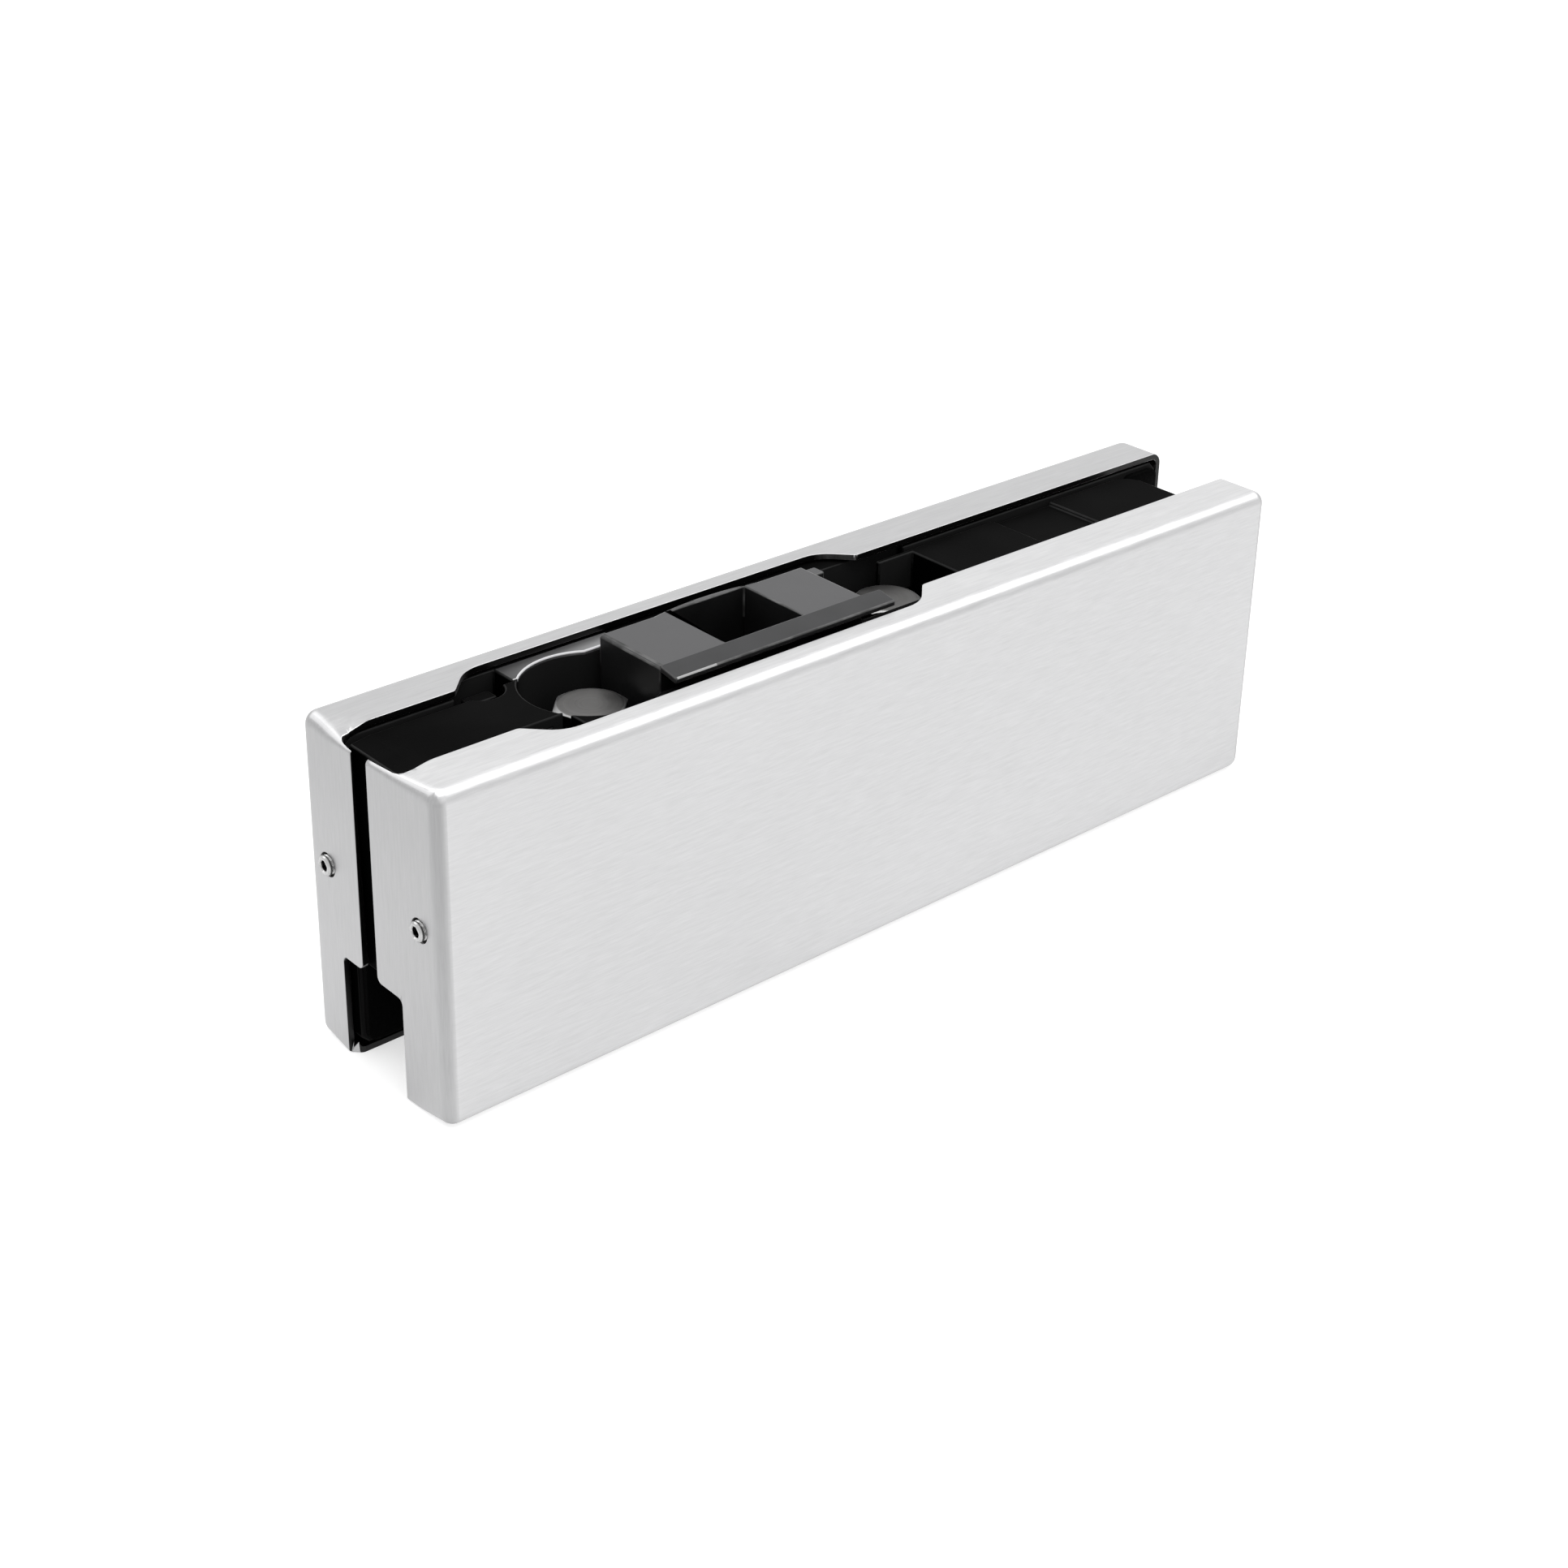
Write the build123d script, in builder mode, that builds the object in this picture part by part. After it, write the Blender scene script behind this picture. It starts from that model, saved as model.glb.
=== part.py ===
"""Bottom corner patch fitting for a frameless glass door, standing on its glass side.

Row frame: X runs along the door from its pivot corner, Y runs from the front face of the
fitting to its back face, Z runs up, and Z = 0 is the plane on which the covers stand.
The spindle socket opens upwards. Everything is in millimetres.
"""

import os
from math import radians, tan

from build123d import *

# Covers
cover_length = 164.0
cover_height = 51.0
overall_depth = 32.0
sheet = 1.0
bend_radius = 2.1

# Glass, and how much of it the fitting covers
glass_thickness = 12.0
gasket_thickness = 1.2
glass_cover_height = 16.0
glass_cover_end = 10.0
glass_edge_gap = 0.3

# Opening in the top of the covers, from the middles of the insert bolts
bay_reach_left = 17.4
bay_reach_right = 0.2
bay_half_width = 11.65
bay_outer_radius = 1.2
bay_inner_radius = 6.0
opening_end_radius = 1.7

# Glass slot in the end flanges at the pivot end, and the gap above it. Both sit behind the
# middle plane, so the front cover's end flange reaches further than the back cover's.
end_slot_offset = 1.2
flange_gap = 3.6
flange_gap_offset = 1.7
flange_corner_radius = 1.0

# Castings inside the covers
cover_clearance = 0.4
casting_edge_bevel = 1.2
clamping_play = 1.3
block_corner_radius = 3.5
end_bevel_length = 3.0
end_bevel_drop = 0.4

# Pocket that holds the spindle insert and its bolts
spindle_distance = 62.8
insert_offset = -2.1
bolt_spacing = 56.6
pocket_half_width = 8.5
wrench_relief_radius = 10.1
pocket_reach_right = 10.1
pocket_corner_radius = 1.0
shoulder_drop = 15.4
well_floor_drop = 24.0
well_end_clearance = 0.3

# Recesses, lugs and web cast beside the pocket
notch_reach = 13.0
notch_y = 7.6
notch_radius = 3.3
recess_depth = 6.5
recess_centre_reach = 12.8
recess_length = 9.5
recess_reach = 4.3
recess_corner_radius = 0.8
front_recess_inner_y = 5.3
front_recess_outer_y = 12.0
lug_length = 4.6
lug_width = 2.4
lug_drop = 1.6
web_start_reach = 3.0
web_thickness = 0.9
web_height = 6.1
top_recess_distance = 25.5
top_recess_length = 13.0
top_recess_depth = 0.6

# Shallow lightening pockets in the outer faces of the castings
light_pocket_count = 2
light_pocket_length = 66.0
light_pocket_height = 11.0
light_pocket_depth = 2.0
light_pocket_pitch = 74.0
light_pocket_centre_height = 11.0

# Spindle insert
insert_stand_out = 1.5
block_left_reach = 19.3
block_right_reach = 18.8
block_half_width = 6.8
block_depth = 22.0
block_edge_radius = 0.4
socket_length = 14.6
socket_width = 13.0
bulge_length = 19.6
bulge_height = 1.0
lip_reach = 3.4
lip_thickness = 0.9
lip_angle = 11.0
lip_overhang = 3.4
nib_length = 2.2
nib_width = 2.3
nib_thickness = 2.5
nib_y = 5.15
nib_drop = 0.6
foot_thickness = 5.0
foot_side_clearance = 0.3
insert_travel = 3.0
slot_clearance = 0.3
running_gap = 0.1

# Insert bolts and washers
hexagon_sides = 6
bolt_diameter = 6.0
bolt_head_flats = 10.0
bolt_head_height = 4.0
bolt_length = 20.0
bolt_chamfer_circle = 9.45
bolt_chamfer_angle = 30.0
bolt_turns = {"left": 45.0, "right": 20.0}
bolt_hole_run_out = 1.5
washer_diameter = 12.0
washer_bore = 6.4
washer_thickness = 1.6
thread_clearance = 0.05

# Countersunk screws that clamp the castings together
clamp_screw_diameter = 6.0
clamp_screw_length = 25.0
clamp_head_diameter = 12.0
clamp_head_rim = 0.6
clamp_hole_clearance = 0.4
clamp_seat_gap = 0.05
countersink_angle = 90.0
clamp_socket_flats = 4.0
clamp_socket_depth = 2.5
clamp_screw_drop = 18.0
clamp_screw_sink = 0.3
clamp_hole_run_out = 1.5
clamp_screw_end_distance = 13.0
clamp_screw_pocket_distance = 8.7
clamp_screw_glass_distance = 9.5

# Set screws that hold the covers at both ends
cover_screw_diameter = 3.0
cover_screw_length = 8.0
cover_screw_stand_out = 0.7
cover_screw_socket_flats = 1.5
cover_screw_socket_depth = 1.6
cover_screw_chamfer = 0.3
cover_hole_clearance = 0.3
cover_screw_drop = 21.8
cover_screw_y = 11.0
cover_hole_run_out = 1.0

# Gaskets
gasket_margin = 0.6
gasket_corner_radius = 1.5

# Sizes that follow from the ones above
half_length = cover_length / 2
half_depth = overall_depth / 2
slot_half_width = glass_thickness / 2 + gasket_thickness
casting_face = half_depth - sheet
casting_half_length = half_length - sheet - cover_clearance
casting_bottom = sheet + cover_clearance
casting_top = cover_height - sheet - cover_clearance
casting_height = casting_top - casting_bottom
block_back = slot_half_width - clamping_play
block_height = casting_top - glass_cover_height
glass_edge_x = half_length - glass_cover_end
bay_slope = bay_half_width - slot_half_width
socket_centre_x = spindle_distance - half_length
shoulder_height = cover_height - shoulder_drop
well_floor_height = cover_height - well_floor_drop
bolt_middle_x = socket_centre_x - insert_offset
bolt_places = {"left": bolt_middle_x - bolt_spacing / 2, "right": bolt_middle_x + bolt_spacing / 2}
bay_start = bolt_places["left"] - bay_reach_left
bay_end = bolt_places["right"] + bay_reach_right
pocket_end_x = bolt_places["right"] + pocket_reach_right
notch_x = bolt_places["left"] - notch_reach
recess_centre_x = bolt_places["left"] - recess_centre_reach
web_start_x = bolt_places["right"] + web_start_reach
top_recess_x = glass_edge_x - top_recess_distance
clamp_screw_height = cover_height - clamp_screw_drop
cover_screw_height = cover_height - cover_screw_drop
clamp_screw_places = {
    "left": clamp_screw_end_distance - half_length,
    "middle": pocket_end_x + clamp_screw_pocket_distance,
    "right": glass_edge_x - clamp_screw_glass_distance,
}
insert_top = cover_height + insert_stand_out
block_start_x = socket_centre_x - block_left_reach
block_end_x = socket_centre_x + block_right_reach
travel_min = -insert_offset - insert_travel
travel_max = -insert_offset + insert_travel
foot_bottom = shoulder_height + running_gap
foot_top = foot_bottom + foot_thickness
washer_bottom = foot_top + running_gap
bolt_seat = washer_bottom + washer_thickness
foot_half_width = pocket_half_width - foot_side_clearance
foot_end_radius = wrench_relief_radius - foot_side_clearance
foot_arc_spacing = bolt_spacing - 2 * insert_travel
slot_half_width_of_foot = bolt_diameter / 2 + slot_clearance

os.makedirs("parts", exist_ok=True)


# Plan of the opening between the covers, from the middle plane to the front cover
with BuildSketch(Plane.XY.offset(cover_height)) as opening_plan:
    with BuildLine():
        beyond = half_length + sheet
        FilletPolyline(
            (-half_length + sheet, 0),
            (-half_length + sheet, -slot_half_width),
            (bay_start, -slot_half_width),
            (bay_start + bay_slope, -bay_half_width),
            (bay_end - bay_slope, -bay_half_width),
            (bay_end, -slot_half_width),
            (beyond, -slot_half_width),
            (beyond, 0),
            radius=[
                opening_end_radius,
                bay_outer_radius,
                bay_inner_radius,
                bay_inner_radius,
                bay_outer_radius,
                0,
            ],
        )
        Line((beyond, 0), (-half_length + sheet, 0))
    make_face()


def end_slot(slot_edge, gap_edge):
    """Profile cut out of a front end flange: the glass slot, and above it the gap.

    Both edges are given by their distance in front of the middle plane.
    """
    with BuildSketch(Plane.YZ.offset(-half_length - sheet)) as profile:
        with BuildLine():
            FilletPolyline(
                (-slot_edge, -sheet),
                (-slot_edge, glass_cover_height),
                (-gap_edge, glass_cover_height),
                (-gap_edge, cover_height),
                radius=flange_corner_radius,
            )
            Polyline(
                (-gap_edge, cover_height),
                (half_depth, cover_height),
                (half_depth, -sheet),
                (-slot_edge, -sheet),
            )
        make_face()
    return profile.sketch


def pressed_cover(slot_edge, gap_edge):
    """A tray with flanges all round, cut away for glass and insert, built as a front cover."""
    with BuildPart() as tray:
        with BuildSketch(Plane.XZ.offset(half_depth)):
            with Locations((0, cover_height / 2)):
                Rectangle(cover_length, cover_height)
        extrude(amount=gap_edge - half_depth)
        open_side = tray.faces().sort_by(Axis.Y)[-1]
        fillet(tray.edges() - open_side.edges(), bend_radius)
        open_side = tray.faces().sort_by(Axis.Y)[-1]
        offset(amount=-sheet, openings=open_side)
        extrude(opening_plan.sketch, amount=-bend_radius, mode=Mode.SUBTRACT)
        extrude(end_slot(slot_edge, gap_edge), amount=2 * sheet, mode=Mode.SUBTRACT)
        with BuildSketch(Plane.YZ.offset(-half_length + sheet)):
            with Locations((-slot_half_width, -sheet)):
                Rectangle(
                    slot_half_width,
                    cover_height - bend_radius + sheet,
                    align=(Align.MIN, Align.MIN),
                )
        extrude(amount=cover_length, mode=Mode.SUBTRACT)
        with BuildSketch(Plane.YZ.offset(-half_length)):
            with Locations((-cover_screw_y, cover_screw_height)):
                Circle(cover_screw_diameter / 2 + cover_hole_clearance)
        extrude(amount=cover_length, mode=Mode.SUBTRACT)
    return tray.part


# Front cover
with BuildPart() as front_cover:
    add(pressed_cover(slot_half_width - end_slot_offset, flange_gap / 2 - flange_gap_offset))
front_cover.part.label = "front_cover"
export_step(front_cover.part, "parts/front_cover.step")

# Back cover: the same pressing mirrored, with its end flange cut further back
with BuildPart() as back_cover:
    mirror(
        pressed_cover(slot_half_width + end_slot_offset, flange_gap / 2 + flange_gap_offset),
        about=Plane.XZ,
    )
back_cover.part.label = "back_cover"
export_step(back_cover.part, "parts/back_cover.step")

# Plan of the pocket that the insert slides in, above the shoulders that carry its feet
with BuildSketch(Plane.XY.offset(shoulder_height)) as pocket_plan:
    with Locations((bolt_places["left"], 0)):
        Rectangle(
            pocket_end_x - bolt_places["left"],
            2 * pocket_half_width,
            align=(Align.MIN, Align.CENTER),
        )
    fillet(pocket_plan.vertices().group_by(Axis.X)[-1], pocket_corner_radius)
    with Locations((bolt_places["left"], 0)):
        Circle(wrench_relief_radius)

# Plan of the deeper well for the block of the insert
with BuildSketch(Plane.XY.offset(well_floor_height)) as well_plan:
    well_start = block_start_x + travel_min - well_end_clearance
    well_end = block_end_x + travel_max + well_end_clearance
    with Locations((well_start, 0)):
        RectangleRounded(
            well_end - well_start,
            2 * pocket_half_width,
            pocket_corner_radius,
            align=(Align.MIN, Align.CENTER),
        )

# Front casting: clamp plate with the block that fills the notch in the glass
with BuildPart() as front_casting:
    with BuildSketch(Plane.XZ.offset(casting_face)):
        with Locations((0, casting_bottom + casting_height / 2)):
            Rectangle(2 * casting_half_length, casting_height)
    extrude(amount=slot_half_width - casting_face)
    inner_side = front_casting.faces().sort_by(Axis.Y)[-1]
    chamfer(front_casting.edges() - inner_side.edges(), casting_edge_bevel)
    with BuildSketch(Plane.XZ.offset(casting_face)):
        with Locations((0, light_pocket_centre_height)):
            with GridLocations(light_pocket_pitch, 1, light_pocket_count, 1):
                Rectangle(light_pocket_length, light_pocket_height)
    extrude(amount=-light_pocket_depth, mode=Mode.SUBTRACT)
    with BuildSketch(Plane.XY.offset(glass_cover_height)) as block_plan:
        with Locations((-casting_half_length, -slot_half_width)):
            Rectangle(
                casting_half_length + glass_edge_x,
                slot_half_width + block_back,
                align=(Align.MIN, Align.MIN),
            )
        fillet(
            block_plan.vertices().group_by(Axis.X)[-1].sort_by(Axis.Y)[-1],
            block_corner_radius,
        )
        with Locations((notch_x, block_back)):
            Rectangle(
                bolt_places["left"] - notch_x,
                slot_half_width - running_gap - block_back,
                align=(Align.MIN, Align.MIN),
            )
        with Locations((notch_x, notch_y)):
            Circle(notch_radius, mode=Mode.SUBTRACT)
    extrude(amount=block_height)
    extrude(pocket_plan.sketch, amount=casting_top - shoulder_height, mode=Mode.SUBTRACT)
    extrude(well_plan.sketch, amount=shoulder_height - well_floor_height, mode=Mode.SUBTRACT)
    # Recess beside the pocket, with the lug cast in it
    with BuildSketch(Plane.XY.offset(casting_top - recess_depth)):
        with Locations((recess_centre_x, -front_recess_inner_y)):
            RectangleRounded(
                recess_length,
                front_recess_outer_y - front_recess_inner_y,
                recess_corner_radius,
                align=(Align.CENTER, Align.MAX),
            )
    extrude(amount=recess_depth, mode=Mode.SUBTRACT)
    with BuildSketch(Plane.XY.offset(casting_top - recess_depth)):
        with Locations((recess_centre_x, -front_recess_inner_y)):
            Rectangle(lug_length, lug_width, align=(Align.CENTER, Align.MAX))
    extrude(amount=recess_depth - lug_drop)
    # Thin web at the back of the pocket, and the shallow recess in the block's top
    with BuildSketch(Plane.XY.offset(casting_top - web_height)):
        with Locations((web_start_x, block_back)):
            Rectangle(
                pocket_end_x + pocket_corner_radius - web_start_x,
                web_thickness,
                align=(Align.MIN, Align.MAX),
            )
    extrude(amount=web_height)
    with BuildSketch(Plane.XY.offset(casting_top)):
        with Locations((top_recess_x, 0)):
            Rectangle(top_recess_length, 2 * slot_half_width)
    extrude(amount=-top_recess_depth, mode=Mode.SUBTRACT)
    with BuildSketch(Plane.XZ.offset(slot_half_width)):
        with BuildLine():
            Polyline(
                (-casting_half_length, casting_top),
                (-casting_half_length, casting_top - end_bevel_drop),
                (-casting_half_length + end_bevel_length, casting_top),
                close=True,
            )
        make_face()
    extrude(amount=-slot_half_width - block_back, mode=Mode.SUBTRACT)
    # Threaded holes for the insert bolts, the clamp screws and the cover screws
    for x in bolt_places.values():
        with Locations((x, 0, shoulder_height)):
            hole_bottom = bolt_seat - bolt_length - bolt_hole_run_out
            Hole(bolt_diameter / 2 + thread_clearance, depth=shoulder_height - hole_bottom)
    for x in clamp_screw_places.values():
        with Locations(Plane((x, block_back, clamp_screw_height), z_dir=(0, 1, 0))):
            screw_tip = casting_face - clamp_screw_sink - clamp_screw_length
            Hole(
                clamp_screw_diameter / 2 + thread_clearance,
                depth=block_back - screw_tip + clamp_hole_run_out,
            )
    for end in (-1, 1):
        origin = (end * casting_half_length, -cover_screw_y, cover_screw_height)
        with Locations(Plane(origin, z_dir=(end, 0, 0))):
            screw_tip = half_length + cover_screw_stand_out - cover_screw_length
            Hole(
                cover_screw_diameter / 2 + thread_clearance,
                depth=casting_half_length - screw_tip + cover_hole_run_out,
            )
front_casting.part.label = "front_casting"
export_step(front_casting.part, "parts/front_casting.step")

# Back casting: clamp plate with the countersunk holes for the clamp screws
with BuildPart() as back_casting:
    with BuildSketch(Plane.XZ.offset(-casting_face)):
        with Locations((0, casting_bottom + casting_height / 2)):
            Rectangle(2 * casting_half_length, casting_height)
    extrude(amount=casting_face - slot_half_width)
    inner_side = back_casting.faces().sort_by(Axis.Y)[0]
    chamfer(back_casting.edges() - inner_side.edges(), casting_edge_bevel)
    with BuildSketch(Plane.XZ.offset(-casting_face)):
        with Locations((0, light_pocket_centre_height)):
            with GridLocations(light_pocket_pitch, 1, light_pocket_count, 1):
                Rectangle(light_pocket_length, light_pocket_height)
    extrude(amount=light_pocket_depth, mode=Mode.SUBTRACT)
    extrude(pocket_plan.sketch, amount=casting_top - shoulder_height, mode=Mode.SUBTRACT)
    extrude(well_plan.sketch, amount=shoulder_height - well_floor_height, mode=Mode.SUBTRACT)
    with BuildSketch(Plane.XY.offset(casting_top - recess_depth)):
        with Locations((recess_centre_x, slot_half_width)):
            Rectangle(recess_length, recess_reach, align=(Align.CENTER, Align.MIN))
    extrude(amount=recess_depth, mode=Mode.SUBTRACT)
    with BuildSketch(Plane.XY.offset(casting_top - recess_depth)):
        with Locations((recess_centre_x, slot_half_width)):
            Rectangle(lug_length, lug_width, align=(Align.CENTER, Align.MIN))
    extrude(amount=recess_depth - lug_drop)
    for x in clamp_screw_places.values():
        with Locations(Plane((x, casting_face, clamp_screw_height), z_dir=(0, 1, 0))):
            CounterSinkHole(
                radius=clamp_screw_diameter / 2 + clamp_hole_clearance,
                counter_sink_radius=clamp_head_diameter / 2
                + clamp_screw_sink
                + clamp_head_rim
                + clamp_seat_gap,
                counter_sink_angle=countersink_angle,
            )
    for end in (-1, 1):
        origin = (end * casting_half_length, cover_screw_y, cover_screw_height)
        with Locations(Plane(origin, z_dir=(end, 0, 0))):
            screw_tip = half_length + cover_screw_stand_out - cover_screw_length
            Hole(
                cover_screw_diameter / 2 + thread_clearance,
                depth=casting_half_length - screw_tip + cover_hole_run_out,
            )
back_casting.part.label = "back_casting"
export_step(back_casting.part, "parts/back_casting.step")

# Spindle insert: block with the rectangular socket, forked feet, front lip and nib
with BuildPart() as spindle_insert:
    with BuildSketch(Plane.XY.offset(insert_top - block_depth)):
        with BuildLine():
            bulge_start = (socket_centre_x - bulge_length / 2, block_half_width)
            bulge_end = (socket_centre_x + bulge_length / 2, block_half_width)
            Polyline(
                bulge_start,
                (block_start_x, block_half_width),
                (block_start_x, -block_half_width),
                (block_end_x, -block_half_width),
                (block_end_x, block_half_width),
                bulge_end,
            )
            bulge_crest = (socket_centre_x, block_half_width + bulge_height)
            ThreePointArc(bulge_end, bulge_crest, bulge_start)
        make_face()
    extrude(amount=block_depth)
    top_edges = spindle_insert.faces().sort_by(Axis.Z)[-1].edges()
    chamfer(top_edges - top_edges.sort_by(Axis.Y)[:1], block_edge_radius)
    with BuildSketch(Plane.XY.offset(foot_bottom)):
        with Locations((socket_centre_x, 0)):
            SlotCenterToCenter(foot_arc_spacing, 2 * foot_end_radius)
            Rectangle(
                foot_arc_spacing + 2 * foot_end_radius,
                2 * foot_half_width,
                mode=Mode.INTERSECT,
            )
            with GridLocations(foot_arc_spacing, 1, 2, 1):
                Circle(slot_half_width_of_foot, mode=Mode.SUBTRACT)
            with GridLocations(foot_arc_spacing + 2 * foot_end_radius, 1, 2, 1):
                Rectangle(
                    2 * foot_end_radius, 2 * slot_half_width_of_foot, mode=Mode.SUBTRACT
                )
    extrude(amount=foot_thickness)
    with BuildSketch(Plane.YZ.offset(block_start_x)):
        with BuildLine():
            lip_fall = lip_reach * tan(radians(lip_angle))
            Polyline(
                (-block_half_width, insert_top),
                (-block_half_width - lip_reach, insert_top - lip_fall),
                (-block_half_width - lip_reach, insert_top - lip_fall - lip_thickness),
                (-block_half_width, insert_top - lip_thickness),
                close=True,
            )
        make_face()
    extrude(amount=block_end_x + lip_overhang - block_start_x)
    with BuildSketch(Plane.XY.offset(insert_top - nib_drop)):
        with Locations((block_end_x, nib_y)):
            Rectangle(nib_length, nib_width, align=(Align.MIN, Align.CENTER))
    extrude(amount=-nib_thickness)
    with BuildSketch(Plane.XY.offset(insert_top)):
        with Locations((socket_centre_x, 0)):
            Rectangle(socket_length, socket_width)
    extrude(amount=-block_depth, mode=Mode.SUBTRACT)
spindle_insert.part.label = "spindle_insert"
export_step(spindle_insert.part, "parts/spindle_insert.step")

# Hexagon bolts and washers that hold the insert on its shoulders
for side, x in bolt_places.items():
    with BuildPart() as bolt:
        with BuildSketch(Plane.XY.offset(bolt_seat)):
            with Locations((x, 0)):
                RegularPolygon(
                    bolt_head_flats / 2,
                    hexagon_sides,
                    major_radius=False,
                    rotation=bolt_turns[side],
                )
        extrude(amount=bolt_head_height)
        with BuildSketch(Plane((x, 0, bolt_seat), x_dir=(1, 0, 0), z_dir=(0, -1, 0))):
            with BuildLine():
                rim = bolt_head_flats
                fall = (rim - bolt_chamfer_circle / 2) * tan(radians(bolt_chamfer_angle))
                Polyline(
                    (0, 0),
                    (rim, 0),
                    (rim, bolt_head_height - fall),
                    (bolt_chamfer_circle / 2, bolt_head_height),
                    (0, bolt_head_height),
                    close=True,
                )
            make_face()
        revolve(axis=Axis((x, 0, 0), (0, 0, 1)), mode=Mode.INTERSECT)
        with BuildSketch(Plane.XY.offset(bolt_seat)):
            with Locations((x, 0)):
                Circle(bolt_diameter / 2)
        extrude(amount=-bolt_length)
    bolt.part.label = "insert_bolt_" + side
    export_step(bolt.part, "parts/insert_bolt_" + side + ".step")

    with BuildPart() as washer:
        with BuildSketch(Plane.XY.offset(washer_bottom)):
            with Locations((x, 0)):
                Circle(washer_diameter / 2)
                Circle(washer_bore / 2, mode=Mode.SUBTRACT)
        extrude(amount=washer_thickness)
    washer.part.label = "insert_washer_" + side
    export_step(washer.part, "parts/insert_washer_" + side + ".step")

# Countersunk screws that clamp the castings on the glass
for side, x in clamp_screw_places.items():
    with BuildPart() as clamp_screw:
        screw_top = casting_face - clamp_screw_sink
        with BuildSketch(Plane((x, screw_top, clamp_screw_height), x_dir=(1, 0, 0), z_dir=(0, 0, 1))):
            with BuildLine():
                cone = (clamp_head_diameter - clamp_screw_diameter) / 2
                Polyline(
                    (0, 0),
                    (clamp_head_diameter / 2, 0),
                    (clamp_head_diameter / 2, -clamp_head_rim),
                    (clamp_screw_diameter / 2, -clamp_head_rim - cone),
                    (clamp_screw_diameter / 2, -clamp_screw_length),
                    (0, -clamp_screw_length),
                    close=True,
                )
            make_face()
        revolve(axis=Axis((x, 0, clamp_screw_height), (0, 1, 0)))
        with BuildSketch(Plane((x, screw_top, clamp_screw_height), z_dir=(0, 1, 0))):
            RegularPolygon(clamp_socket_flats / 2, hexagon_sides, major_radius=False)
        extrude(amount=-clamp_socket_depth, mode=Mode.SUBTRACT)
    clamp_screw.part.label = "clamp_screw_" + side
    export_step(clamp_screw.part, "parts/clamp_screw_" + side + ".step")

# Set screws that stand through the end flanges and hold the covers
for side, y in {"front": -cover_screw_y, "back": cover_screw_y}.items():
    for end, name in {-1: "left", 1: "right"}.items():
        outer = half_length + cover_screw_stand_out
        with BuildPart() as cover_screw:
            with BuildSketch(Plane((end * outer, y, cover_screw_height), z_dir=(end, 0, 0))):
                Circle(cover_screw_diameter / 2)
            extrude(amount=-cover_screw_length)
            rims = cover_screw.edges().filter_by(GeomType.CIRCLE).sort_by(Axis.X)
            chamfer(rims[-1] if end > 0 else rims[0], cover_screw_chamfer)
            with BuildSketch(Plane((end * outer, y, cover_screw_height), z_dir=(end, 0, 0))):
                RegularPolygon(cover_screw_socket_flats / 2, hexagon_sides, major_radius=False)
            extrude(amount=-cover_screw_socket_depth, mode=Mode.SUBTRACT)
        cover_screw.part.label = "cover_screw_" + side + "_" + name
        export_step(cover_screw.part, "parts/cover_screw_" + side + "_" + name + ".step")

# L-shaped gaskets between the castings and the glass
for side, face in {"front": slot_half_width, "back": gasket_thickness - slot_half_width}.items():
    with BuildPart() as gasket:
        with BuildSketch(Plane.XZ.offset(face)) as gasket_plan:
            low = casting_bottom + gasket_margin
            far = casting_half_length - gasket_margin
            with Locations((-far, low)):
                Rectangle(
                    2 * far,
                    glass_cover_height - glass_edge_gap - low,
                    align=(Align.MIN, Align.MIN),
                )
            with Locations((far, low)):
                Rectangle(
                    far - glass_edge_x - glass_edge_gap,
                    casting_top - gasket_margin - low,
                    align=(Align.MAX, Align.MIN),
                )
            inner_height = glass_cover_height - glass_edge_gap
            outer_corners = gasket_plan.vertices().filter_by(
                lambda corner: corner.X < 0 or abs(corner.Y - inner_height) > glass_edge_gap
            )
            fillet(outer_corners, gasket_corner_radius)
        extrude(amount=-gasket_thickness)
    gasket.part.label = side + "_gasket"
    export_step(gasket.part, "parts/" + side + "_gasket.step")
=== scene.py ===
"""Looks and studio for the glass door patch fitting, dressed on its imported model.

Row frame, in metres: X runs along the door from its pivot corner, Y from the front face to
the back face, Z up. The fitting stands on Z = 0 with its spindle socket on top.
"""

from math import pi, radians, tan

import bmesh
import bpy
import numpy as np
from bpy.props import FloatProperty, FloatVectorProperty, IntProperty, PointerProperty
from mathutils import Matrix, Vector


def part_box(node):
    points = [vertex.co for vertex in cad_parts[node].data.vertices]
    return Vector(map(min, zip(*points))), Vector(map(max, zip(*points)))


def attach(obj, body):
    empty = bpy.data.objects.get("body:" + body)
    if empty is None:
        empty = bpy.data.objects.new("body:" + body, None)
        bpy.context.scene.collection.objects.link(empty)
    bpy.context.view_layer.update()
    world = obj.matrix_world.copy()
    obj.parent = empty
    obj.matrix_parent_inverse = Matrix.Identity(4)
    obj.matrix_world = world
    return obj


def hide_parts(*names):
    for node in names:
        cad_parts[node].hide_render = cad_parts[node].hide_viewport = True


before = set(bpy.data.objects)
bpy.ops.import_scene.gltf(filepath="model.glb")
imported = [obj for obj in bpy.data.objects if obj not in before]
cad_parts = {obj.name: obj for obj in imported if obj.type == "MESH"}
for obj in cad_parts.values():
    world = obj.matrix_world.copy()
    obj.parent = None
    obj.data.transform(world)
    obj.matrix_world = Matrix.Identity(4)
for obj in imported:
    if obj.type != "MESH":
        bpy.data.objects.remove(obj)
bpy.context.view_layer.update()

bl_info = {
    "name": "Glass patch fitting",
    "version": (1, 0, 0),
    "blender": (4, 5, 0),
    "location": "3D View > Sidebar > Patch Fitting",
    "description": "Dresses a glass door patch fitting and sets its studio",
    "category": "Object",
}

MM = 0.001

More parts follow.
